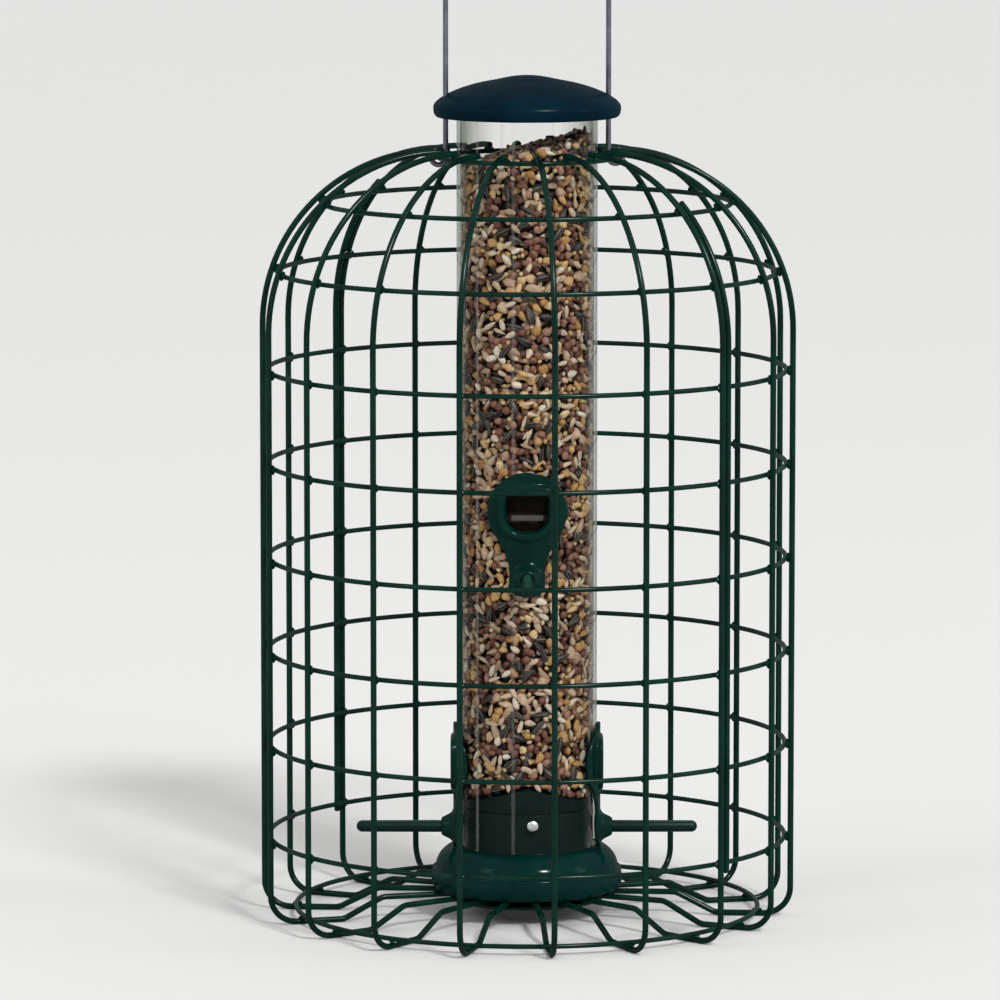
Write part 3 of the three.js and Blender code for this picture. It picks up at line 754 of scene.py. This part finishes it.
def mouth_outline(grow=0.0, steps=10):
    """The mouth of a port: flat top with rounded corners, and a round lower half."""
    half, top, bottom, corner = MOUTH_HALF + grow, MOUTH_TOP + grow, MOUTH_BOTTOM - grow, MOUTH_CORNER + grow
    curves = [
        ((0, bottom), (half, bottom), (half, 0)),
        ((half, top - corner), (half, top), (half - corner, top)),
        ((corner - half, top), (-half, top), (-half, top - corner)),
        ((-half, 0), (-half, bottom), (0, bottom)),
    ]
    points = [p for ends in curves for p in curve(*ends, np.linspace(0, 1, steps + 1))]
    return [p for i, p in enumerate(points) if math.dist(p, points[i - 1]) > TINY]


def drop_outline():
    """The plate of a port: a round head that draws in to a tail with a blunt end."""
    head, tail, flank, waist, corner = 18, 8, radians(35), -27.0, 5
    side, low = head * cos(flank), -head * sin(flank)
    pull = low - (side - tail) / tan(flank)
    end = -PERCH_DROP - tail
    return [
        *arc((0, 0), (head, head), -flank, pi + flank, 48),
        *curve((-side, low), (-tail, pull), (-tail, waist), np.linspace(0, 1, 13)[1:]),
        *arc((corner - tail, end + corner), (corner, corner), pi, 3 * QUARTER),
        *arc((tail - corner, end + corner), (corner, corner), -QUARTER, 0),
        *curve((side, low), (tail, pull), (tail, waist), np.linspace(1, 0, 13)[:-1]),
    ]


def mouth_prisms(grow, start, lean=0.0):
    """At each port, a prism of its mouth's outline through the wall. Its inner end may lean in at the top."""
    outline = np.array(mouth_outline(grow, 6))
    inner = start - (outline[:, 1] + PRISM_FOOT) * lean
    prism = closed([np.column_stack([x, outline]) for x in (inner, np.full(len(outline), PRISM_REACH))])
    return [faced(prism, b, PERCH_HEIGHTS[side] + PERCH_DROP) for side, b in PORT_BEARINGS.items()]


def build_tube():
    low, high = TUBE_BOTTOM, TUBE_TOP
    section = [(BORE_RADIUS, low), (TUBE_RADIUS, low), (TUBE_RADIUS, high), (BORE_RADIUS, high)]
    mesh = cut_by(mesh_of("tube", turned(eased(section, 0.4))), *mouth_prisms(grow=1.8, start=20.0))
    piece("clear_tube", mesh, clear_tube, "clear_tube", "tube")


def build_base():
    foot, band, ledge, dome, inner = 41.15, 43.35, 42.75, 41.45, 38.55
    belly, centre, hollow = 5, 28.0, PLUG_RADIUS - PLUG_WALL
    boss, bore, boss_foot, bore_end = 7, 2.8, 10.2, 25.2
    ceiling, collar, reach = BASE_CROWN - 2.6, TUBE_RADIUS + 2.6, dome - centre
    end = math.acos((collar - centre) / reach)
    outline = [
        *arc((foot, BASE_BOTTOM + belly), (band - foot, belly), -QUARTER, 0),
        (ledge, BASE_LEDGE),
        *arc((centre, BASE_LEDGE), (reach, (BASE_CROWN - BASE_LEDGE) / sin(end)), 0, end),
        (PLUG_RADIUS, BASE_CROWN), (PLUG_RADIUS, PLUG_TOP), (hollow, PLUG_TOP), (hollow, BASE_CROWN),
        (0, BASE_CROWN), (0, bore_end), (bore, bore_end), (bore, boss_foot), (boss, boss_foot),
        (boss, ceiling), (hollow, ceiling),
        *arc((hollow, BASE_LEDGE), (inner - hollow, ceiling - BASE_LEDGE), QUARTER, 0)[1:],
        (inner, BASE_BOTTOM),
    ]
    mesh = mesh_of("base", turned(eased(outline, 0.7)))
    piece("base_casting", mesh, base_paint, "casting_paint", "base")


def build_fastening():
    plate = [
        (2.8, 8.3), (12.5, 8.3), (12.9, 7.3), (35, 7.3), (35, 8.9), (13.5, 8.9), (12.5, 9.9), (2.8, 9.9),
    ]
    mesh = mesh_of("clamp_plate", turned(eased(plate, 0.5)))
    piece("clamp_plate", mesh, cage_coating, "cage_coating", "floor_plate")

    waist, wave, lobes = 9.55, 0.45, 8
    knob = []
    for turn in circle(LATHE_STEPS):
        reach = waist + wave * cos(lobes * turn + pi)
        knob.append((reach * cos(turn), reach * sin(turn)))
    head = lofted(knob, [(3, 1.0), (3.25, 0.45), (3.8, 0), (7.2, 0), (7.75, 0.45), (8, 1.0)])
    crest, root, pitch, first, count = 2.5, 2.15, 0.6, 10.6, 20
    thread = [(0, 7.7), (crest, 7.7)]
    for i in range(count):
        z = first + pitch * i
        thread += [(crest, z), (root, z + pitch / 2)]
    thread += [(crest, 22.7), (2.1, 23.2), (0, 23.2)]
    mesh = mesh_of("thumb_screw", joined(head, turned(thread, PIN_STEPS)))
    piece("thumb_screw_dressed", mesh, screw_steel, "screw_steel", "thumb_screw")

    seat, shank, cap, brim = TUBE_RADIUS + GAP, 1.5, 2.6, 0.2
    screw = [
        (0, seat - 6), (1.3, seat - 6), (shank, seat - 5.6), (shank, seat), (cap, seat), (cap, seat + brim),
        *arc((0, seat + brim), (cap, 1.2), 0, QUARTER)[1:],
    ]
    cross = []
    for wide, tall in ((0.34, 1.4), (1.4, 0.34)):
        box = rectangle(wide, tall)
        cross.append(closed([np.array([(x, y, z) for y, z in box]) for x in (seat + 0.7, seat + 3)]))
    for side, bearing in SCREW_BEARINGS.items():
        mesh = mesh_of("screw", faced(turned_outward(screw), bearing, SCREW_HEIGHT))
        mesh = cut_by(mesh, *(faced(slot, bearing, SCREW_HEIGHT) for slot in cross))
        piece(f"screw_{side}", mesh, screw_steel, "screw_steel", f"tube_screw_{side}")


# Ports and perches


def port_field():
    """The port's own distance field: outward, sideways, up from the middle of its mouth."""
    mouth, drop = mouth_outline(), drop_outline()
    deep, narrow, low = 3.5, 0.12, 0.03
    frame_width, duct_wall = 3.4, 1.5
    boss_radius, boss_loss, boss_start, boss_run, boss_end = 6.6, 2.7, 33.45, 5.55, 39
    socket_radius, socket_end = 3, 32.95
    hood_foot, hood_roof, foot_reach, roof_reach = 12, 11, 28.35, 17.75

    def field(x, y, z):
        inward = np.clip((PORT_SEAT + FRAME_PROUD - x) / deep, 0, 1)
        hole = outline_distance(mouth, y * (1 + narrow * inward), z * (1 + low * inward))
        plan = outline_distance(drop, y, z)
        around = np.sqrt(x * x + y * y)
        behind = PORT_SEAT - around
        plate = both(both(around - PORT_SEAT - PORT_PLATE, behind), plan, 0.6)
        frame_wall = both(both(hole - frame_width, x - PORT_SEAT - FRAME_PROUD, 1.6), behind)
        from_pin = np.sqrt(y * y + (z + PERCH_DROP) ** 2)
        taper = boss_radius - boss_loss * np.clip((x - boss_start) / boss_run, 0, 1.3)
        boss = both(both((from_pin - taper) * 0.9, x - boss_end, 1.0), behind)
        body = melt(melt(plate, frame_wall, 1.8), boss, 2.2)
        slope = (hood_roof + hood_foot) / (foot_reach - roof_reach)
        hood_cut = (foot_reach - (z + hood_foot) / slope - x) * 0.9
        duct = both(both(hole - duct_wall, hood_cut, 0.5), around - PORT_SEAT - 0.5)
        body = both(melt(body, duct, 0.3), -hole, 1.7)
        return both(body, -both(from_pin - socket_radius, socket_end - x), 0.2)

    return field


def build_ports():
    skin = net(port_field(), low=(16.5, -19, -39), high=(40, 19, 19), step=0.5)
    half, length, thinned = 1.2, 10.2, 0.4
    points, faces = lofted(eased(rectangle(half, half), 0.35), [(-length, 0), (length, 0)])
    bar = np.column_stack([points[:, 0] + BAR_REACH, points[:, 2], points[:, 1] - BAR_DROP]), faces
    grip, radius = 2.75, 2.65
    tip = PERCH_REACH - radius
    pin = [(0, 33.25), (2.4, 33.25), (grip, 33.6), (grip, 42), (radius, tip),
           *arc((0, tip), (radius, radius), 0, QUARTER)[1:]]
    pin = turned_outward(pin)
    for side, bearing in PORT_BEARINGS.items():
        height = PERCH_HEIGHTS[side]
        mesh = mesh_of("port", faced(skin, bearing, height + PERCH_DROP), PORT_SHARP)
        name = f"port_{side}"
        port = piece(f"{name}_moulding", mesh, port_moulding, "port_moulding", name)
        port.modifiers.new("thin", "DECIMATE").ratio = thinned
        mesh = mesh_of("bar", faced(bar, bearing, height + PERCH_DROP))
        piece(f"{name}_bar", mesh, bar_steel, "screw_steel")
        mesh = mesh_of("perch", faced(pin, bearing, height))
        piece(f"perch_{side}_pin", mesh, perch_moulding, "port_moulding", f"perch_{side}")


# Seed

# A kind's sizes, how pointed and lumpy it is, its share of the mix, and its look
Kind = namedtuple("Kind", "length width thickness pointed lumpy share rough tones stripes", defaults=[None])
KINDS = {
    "sunflower": Kind(8.2, 4.3, 2.9, 0.75, 0.05, 0.22, (0.4, 0.6),
        [(0.0, (0.006, 0.005, 0.005)), (1.0, (0.024, 0.019, 0.016))], (0.2, 0.17, 0.145)),
    "heart": Kind(5.8, 2.9, 2.1, 0.6, 0.1, 0.24, (0.5, 0.7),
        [(0.0, (0.36, 0.24, 0.155)), (0.5, (0.52, 0.38, 0.27)), (1.0, (0.62, 0.5, 0.38))]),
    "safflower": Kind(5.6, 3.3, 2.9, 0.5, 0.05, 0.06, (0.3, 0.5),
        [(0.0, (0.58, 0.49, 0.39)), (1.0, (0.74, 0.67, 0.57))]),
    "milo": Kind(3.7, 3.4, 2.9, 0.1, 0.08, 0.24, (0.4, 0.6),
        [(0.0, (0.075, 0.026, 0.018)), (0.6, (0.19, 0.075, 0.052)), (1.0, (0.33, 0.18, 0.125))]),
    "corn": Kind(4.6, 3.8, 2.6, 0.2, 0.32, 0.14, (0.45, 0.65),
        [(0.0, (0.36, 0.17, 0.055)), (0.6, (0.52, 0.31, 0.12)), (1.0, (0.64, 0.48, 0.28))]),
    "chip": Kind(6.2, 4.4, 3.2, 0.15, 0.3, 0.07, (0.5, 0.7),
        [(0.0, (0.38, 0.24, 0.16)), (1.0, (0.6, 0.44, 0.32))]),
    "millet": Kind(2.3, 2.1, 1.9, 0.05, 0.03, 0.08, (0.3, 0.45),
        [(0.0, (0.44, 0.29, 0.13)), (1.0, (0.62, 0.48, 0.28))]),
}
SIZES = {name: math.sqrt(kind.length * kind.width) for name, kind in KINDS.items()}
DARK_KINDS = ("sunflower", "milo")

# Where the seed lies, and the dark heart behind it
SEED_LIMIT = 29.8
SEED_BOTTOM = 53
SEED_RISE = 310
SEED_TRIES = 44000
SEED_CELL = 6.0
CLOSEST = 0.4
WALL_LAYERS = (0.0, 2.7)
WALL_INSET = 1.7
TOP_LAYERS = (0.6, 3.0)
TOP_SEEDS = 420
RIM_MARGIN = 3.5
CORE_HEIGHTS = np.arange(54, 352, 4.0)
CORE_RADIUS = 25.6
CORE_STEPS = 60
CORE_SINK = 3.5
BAFFLE_EDGE = 52.7
BAFFLE_RIDGE = 61.8
TOP_DROP = 20
TOP_SLOPE = tan(radians(14.5))
BACK, UP = np.eye(3)[1:]


def seed_shape(rows=5, columns=8):
    """Points (along, across, through) of a seed as a unit ball, each one's turn about it, and its faces."""
    along = np.sin(np.linspace(-QUARTER, QUARTER, rows + 2))[1:-1]
    u, t = (a.ravel() for a in np.meshgrid(along, np.linspace(0, 1, columns, endpoint=False), indexing="ij"))
    ring = np.sqrt(1 - u * u)
    points = np.column_stack([u, ring * np.cos(TURN * t), ring * np.sin(TURN * t)])
    points = np.concatenate([points, [[-1, 0, 0], [1, 0, 0]]])
    return points, np.concatenate([t, [0, 0]]), ball_faces(rows, columns)


def baffle_top(x):
    """Height of the sloped seed floor, whose ridge runs from front to back."""
    return BAFFLE_RIDGE + (BAFFLE_EDGE - BAFFLE_RIDGE) * np.abs(x) / SEED_LIMIT


def seed_top(x):
    """Height of the seed's top, which lies lower on the left."""
    return TUBE_TOP - TOP_DROP + x * TOP_SLOPE


def in_duct(across, up, margin=2.2):
    """Whether a place lies in the way of a port's hood."""
    return abs(across) < MOUTH_HALF + margin and MOUTH_BOTTOM - margin < up < MOUTH_TOP + margin


def patch(bearing, z):
    """How much the mix runs to pale seeds at a place of the tube, from -1 to 1."""
    return 0.6 * sin(z / 7.5 + 1.8 * sin(2 * bearing + 0.6)) + 0.4 * sin(3 * bearing + z / 19)


def scattered(draw, chances, deep):
    """Places on the unrolled tube, kept apart by the seeds' sizes: (kind, bearing, height)."""
    kept, cells = [], {}
    around = TURN * (SEED_LIMIT - deep)
    for _ in range(SEED_TRIES):
        s, z = draw.random() * around, SEED_BOTTOM + draw.random() * SEED_RISE
        bearing = s / around * TURN
        chance = chances["pale" if draw.random() < 0.5 + 0.5 * patch(bearing, z) else "dark"]
        kind = list(KINDS)[int(np.searchsorted(chance, draw.random()))]
        size, x = SIZES[kind], sin(bearing) * SEED_LIMIT
        if z < baffle_top(x) + size * 0.45 or z > seed_top(x) - 1:
            continue
        blocked = False
        for side, port in PORT_BEARINGS.items():
            off = (bearing - port + pi) % TURN - pi
            up = z - PERCH_HEIGHTS[side] - PERCH_DROP
            blocked |= abs(off) < QUARTER and in_duct(sin(off) * SEED_LIMIT, up)
        key = int(s / SEED_CELL), int(z / SEED_CELL)
        near = [p for i in (-1, 0, 1) for j in (-1, 0, 1) for p in cells.get((key[0] + i, key[1] + j), ())]
        if blocked or any(math.hypot(s - a, z - b) < CLOSEST * (size + other) for a, b, other in near):
            continue
        cells.setdefault(key, []).append((s, z, size))
        kept.append((kind, bearing, z))
    return kept


def seed_axes(draw, count, out, up, tilt=0.3, roll=0.5):
    """Long, wide and thick directions of seeds that lie against a face whose way out is given."""
    side = np.cross(up, out)
    a = draw.random(count)[:, None] * TURN
    b = (draw.random(count)[:, None] * 2 - 1) * tilt
    c = (draw.random(count)[:, None] * 2 - 1) * roll
    long, wide = np.cos(a) * side + np.sin(a) * up, -np.sin(a) * side + np.cos(a) * up
    long, thick = np.cos(b) * long + np.sin(b) * out, -np.sin(b) * long + np.cos(b) * out
    wide, thick = np.cos(c) * wide + np.sin(c) * thick, -np.sin(c) * wide + np.cos(c) * thick
    return long, wide, thick


def seed_cloud(draw, kind, places, out, up):
    """Seeds of a kind against a face: [points, own, tone, turn, faces of a seed, points of a seed]."""
    seed = KINDS[kind]
    body, turn, faces = seed_shape(*((3, 6) if kind == "millet" else (5, 8)))
    count, spread, apart = len(places), 0.14, 90
    scale = 1 + spread * draw.standard_normal((count, 1, 3)).clip(-2, 2)
    lump = draw.random((count, 3, 1)) * TURN
    waves = sum(np.sin(n * body[:, i] + lump[:, i]) for i, n in enumerate((3, 4, 4)))
    drawn_in = 1 - seed.pointed * 0.5 * (1 + body[:, 0]) ** 2 / 2
    local = body[None] * (np.array([seed.length, seed.width, seed.thickness]) / 2) * scale
    local[:, :, 1:] *= drawn_in[None, :, None]
    local *= (1 + seed.lumpy * waves / 2)[:, :, None]
    axes = seed_axes(draw, count, out, up)
    points = sum(local[:, :, i:i + 1] * axis[:, None] for i, axis in enumerate(axes)) + places[:, None]
    own = body[None] + draw.random((count, 1, 3)) * apart
    tone = np.repeat(draw.random(count), len(body))
    return [points, own, tone, np.tile(turn, count), faces, len(body)]


def held_in(cloud, out, limit, least=-np.inf, rounds=3):
    """Moves seeds to the wall along out, and back by at least the least way, so that none passes it."""
    for _ in range(rounds):
        over = np.sqrt((cloud[0][:, :, :2] ** 2).sum(2)).max(1) - limit
        cloud[0] -= (out * np.maximum(over, least)[:, None])[:, None]


def seed_piece(kind, clouds):
    points, own = (np.concatenate([c[i].reshape(-1, 3) for c in clouds]) for i in (0, 1))
    tone, turn = (np.concatenate([c[i] for c in clouds]) for i in (2, 3))
    faces, size = clouds[0][4:]
    mesh = bpy.data.meshes.new("seed_" + kind)
    mesh.from_pydata((points * MM).tolist(), [], [
        tuple(i + start for i in face) for start in range(0, len(points), size) for face in faces
    ])
    mesh.shade_smooth()
    for name, values in {"own": own, "tone": tone, "turn": turn}.items():
        sort, key = ("FLOAT_VECTOR", "vector") if values.ndim > 1 else ("FLOAT", "value")
        mesh.attributes.new(name, sort, "POINT").data.foreach_set(key, values.astype(np.float32).ravel())
    look = seed_finish(kind, KINDS[kind].tones, KINDS[kind].rough, KINDS[kind].stripes)
    return piece("seed_" + kind, mesh, look, "seed_mix")


def wall_seeds(draw, clouds):
    """Seeds that lie against the tube, and a layer behind them."""
    chances, more, less = {}, 1.5, 0.5
    for side in ("dark", "pale"):
        favour = {kind: more if (kind in DARK_KINDS) == (side == "dark") else less for kind in KINDS}
        weights = np.array([seed.share * favour[kind] for kind, seed in KINDS.items()])
        chances[side] = np.cumsum(weights / weights.sum())
    for deep in WALL_LAYERS:
        found = scattered(draw, chances, deep)
        for kind in KINDS:
            bearing, height = np.array([(b, z) for k, b, z in found if k == kind]).T
            none = np.zeros(len(height))
            out = np.column_stack([np.sin(bearing), -np.cos(bearing), none])
            places = out * (SEED_LIMIT - deep - WALL_INSET) + np.column_stack([none, none, height])
            cloud = seed_cloud(draw, kind, places, out, UP)
            held_in(cloud, out, SEED_LIMIT - deep)
            clouds[kind].append(cloud)


def top_seeds(draw, clouds):
    for deep in TOP_LAYERS:
        for kind in KINDS:
            count = int(TOP_SEEDS * KINDS[kind].share / sum(seed.share for seed in KINDS.values()))
            reach, turn = np.sqrt(draw.random(count)) * (SEED_LIMIT - RIM_MARGIN), draw.random(count) * TURN
            x, y = reach * np.cos(turn), reach * np.sin(turn)
            places = np.column_stack([x, y, seed_top(x) - deep - draw.random(count)])
            cloud = seed_cloud(draw, kind, places, UP, BACK)
            away = places * [1, 1, 0]
            away /= np.maximum(np.linalg.norm(away, axis=1), TINY)[:, None]
            held_in(cloud, away, SEED_LIMIT, least=0, rounds=1)
            clouds[kind].append(cloud)


def seed_core(draw):
    """A rough dark body behind the loose seeds, painted in the shade of seed deep in the tube, that leaves
    the hoods free.
    """
    turns = circle(CORE_STEPS)
    rows = []
    for z in CORE_HEIGHTS:
        radius = CORE_RADIUS - 0.9 * draw.random(CORE_STEPS)
        x, y = radius * np.sin(turns), -radius * np.cos(turns)
        rows.append(np.column_stack([x, y, np.clip(z, baffle_top(x) + 0.6, seed_top(x) - CORE_SINK)]))
    rim = rows[-1]
    for share in (0.6, 0.2):
        top = rim * [share, share, 1]
        top[:, 2] = seed_top(top[:, 0]) - CORE_SINK
        rows.append(top)
    return cut_by(mesh_of("seed_core", closed(rows)), *mouth_prisms(grow=2.1, start=27.75, lean=0.438))


def build_seed():
    draw = np.random.default_rng(41)
    clouds = {kind: [] for kind in KINDS}
    wall_seeds(draw, clouds)
    top_seeds(draw, clouds)
    made = [seed_piece(kind, clouds[kind]) for kind in KINDS]
    # The heart's dark colour is painted shade, for seed deep in the tube and in the hoods' hollows
    shade = coated("seed_shade", (0.006, 0.005, 0.004), (0.035, 0.025, 0.018), 300, 700, 0.4, (0.7, 0.9),
                   specular=0.1)
    piece("seed_heart_of_fill", seed_core(draw), shade, "seed_mix")
    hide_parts("seed_fill")


# Cap and bail


def build_cap():
    radius, wall, drop, rise = BAIL_FOOT + 5.7, 2.2, 5, 12.6
    widest, seat, collar = CAP_RIM + drop, TUBE_TOP + 0.9, BORE_RADIUS - 1.2
    inner, seat_edge, bore, end = radius - wall, TUBE_RADIUS + 3.4, collar - 2, seat - 7.4
    nub_start, nub_run, roof_shape = 3, 14, 0.7

    def roof(r):
        share = min(max((r - nub_start) / nub_run, 0), 1)
        nub = 1 - share * share * (3 - 2 * share)
        return widest + rise * max(1 - (r / radius) ** 2, 0) ** roof_shape + nub

    def ceiling(r):
        return widest + (rise - wall) * (1 - (r / inner) ** 2) ** roof_shape

    outside = [(inner, CAP_RIM), *arc((inner, widest), (wall, drop), -QUARTER, 0)[1:]]
    for angle in np.linspace(0, QUARTER, 33)[1:]:
        r = max(radius * cos(angle), 0)
        outside.append((r, roof(r)))
    outline = [
        *outside, (0, ceiling(0)), (15, ceiling(15)), (bore, ceiling(bore)), (bore, end),
        (collar, end), (collar, seat), (seat_edge, seat), (seat_edge, max(ceiling(seat_edge), seat)),
        (inner, widest),
    ]
    outline = softened(eased(outline, 0.5), lambda r, z: r > inner + 0.2 and z > widest - 2)
    low, high, hole = 340, 400, BAIL_WIRE / 2 + 0.5
    points, faces = turned([(0, low), (hole, low), (hole, high), (0, high)], PIN_STEPS)
    holes = [faced((points + [side * BAIL_FOOT, 0, 0], faces), BAIL_BEARING) for side in (1, -1)]
    mesh = cut_by(mesh_of("cap", turned(outline)), *holes)
    piece("cap_shell", mesh, cap_paint, "casting_paint", "cap", body="cap")


def build_bail():
    hook = TOP_RING_RADIUS - BAIL_FOOT
    start = BAIL_HOOK_TURN - pi
    eye = (hook, -BAIL_HOOK_TURN)
    leg = (BAIL_SPRING - TOP_RING_HEIGHT,)
    at = TOP_RING_RADIUS + hook * cos(start), TOP_RING_HEIGHT + hook * sin(start)
    route = bent_wire(at, start - QUARTER, [eye, leg, (BAIL_FOOT, pi), leg, eye])
    mesh = mesh_of("bail", faced(swept(route, BAIL_WIRE), BAIL_BEARING))
    piece("bail_hanger", mesh, bail_wire, "bail_wire", "bail", body="bail")


# Setting: the world's strength for dull surfaces, and lamps in metres
FLOOR_HALF = 60.0
DULL_LEVEL = 0.56
AIM = Vector((0, 0, 0.22))
SUN_PLACE = (1.0, -2.0, 2.2)
SOFTBOX = {"shape": "RECTANGLE", "size_y": 1.2}
LAMPS = {
    "sun": ("SUN", SUN_PLACE, {"energy": 1.7, "angle": radians(10)}),
    "glint": ("SUN", SUN_PLACE, {"energy": 3.0, "angle": radians(6)}),
    "softbox_left": ("AREA", (-2.6, -1.6, 2.0), {**SOFTBOX, "energy": 14, "size": 0.9}),
    "softbox_right": ("AREA", (2.7, -0.6, 1.4), {**SOFTBOX, "energy": 12, "size": 0.6}),
}


def build_floor():
    mesh = bpy.data.meshes.new("floor")
    mesh.from_pydata([(x, y, 0) for x, y in rectangle(FLOOR_HALF, FLOOR_HALF)], [], [(0, 1, 2, 3)])
    floor = placed("floor", mesh)
    pale = Finish("pale_floor", Base_Color=(0.84, 0.84, 0.83, 1), Roughness=0.9, Specular_IOR_Level=0.0)
    mesh.materials.append(pale.material)


def build_world():
    """A white world, which lights dull surfaces less than it shows in gloss and to the camera."""
    world = bpy.data.worlds.new("studio")
    studio = Nodes(world)
    path = studio.node("ShaderNodeLightPath").outputs
    seen = studio.maths("MAXIMUM", path["Is Camera Ray"], path["Is Glossy Ray"])
    seen = studio.maths("MAXIMUM", seen, path["Is Transmission Ray"])
    light = studio.tree.nodes["Background"].inputs
    studio.link(studio.ranged(seen, DULL_LEVEL, 1.0), light["Strength"])
    light["Color"].default_value = (1, 1, 1, 1)
    bpy.context.scene.world = world


def build_lamps():
    """The glint is only seen in gloss."""
    for name, (kind, place, settings) in LAMPS.items():
        lamp = bpy.data.lights.new(name, kind)
        for key, value in settings.items():
            setattr(lamp, key, value)
        o = placed(name, lamp)
        o.visible_diffuse = name != "glint"
        o.location = place
        o.rotation_euler = (o.location - AIM).to_track_quat("Z", "Y").to_euler()


def build_camera():
    camera = bpy.data.cameras.new("camera")
    camera.lens, camera.sensor_width = CAMERA_LENS, 36
    camera.clip_start, camera.clip_end = 0.1, 200
    o = placed("camera", camera)
    o.location = CAMERA_PLACE
    o.rotation_euler = (radians(90 - CAMERA_DOWN), 0, 0)
    bpy.context.scene.camera = o
    bpy.context.scene.view_settings.view_transform = "Standard"


build_cage()
build_tube()
build_base()
build_fastening()
build_ports()
build_seed()
build_cap()
build_bail()
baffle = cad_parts["seed_baffle"]
baffle.data.materials.clear()
baffle.data.materials.append(base_paint)
build_floor()
build_world()
build_lamps()
build_camera()
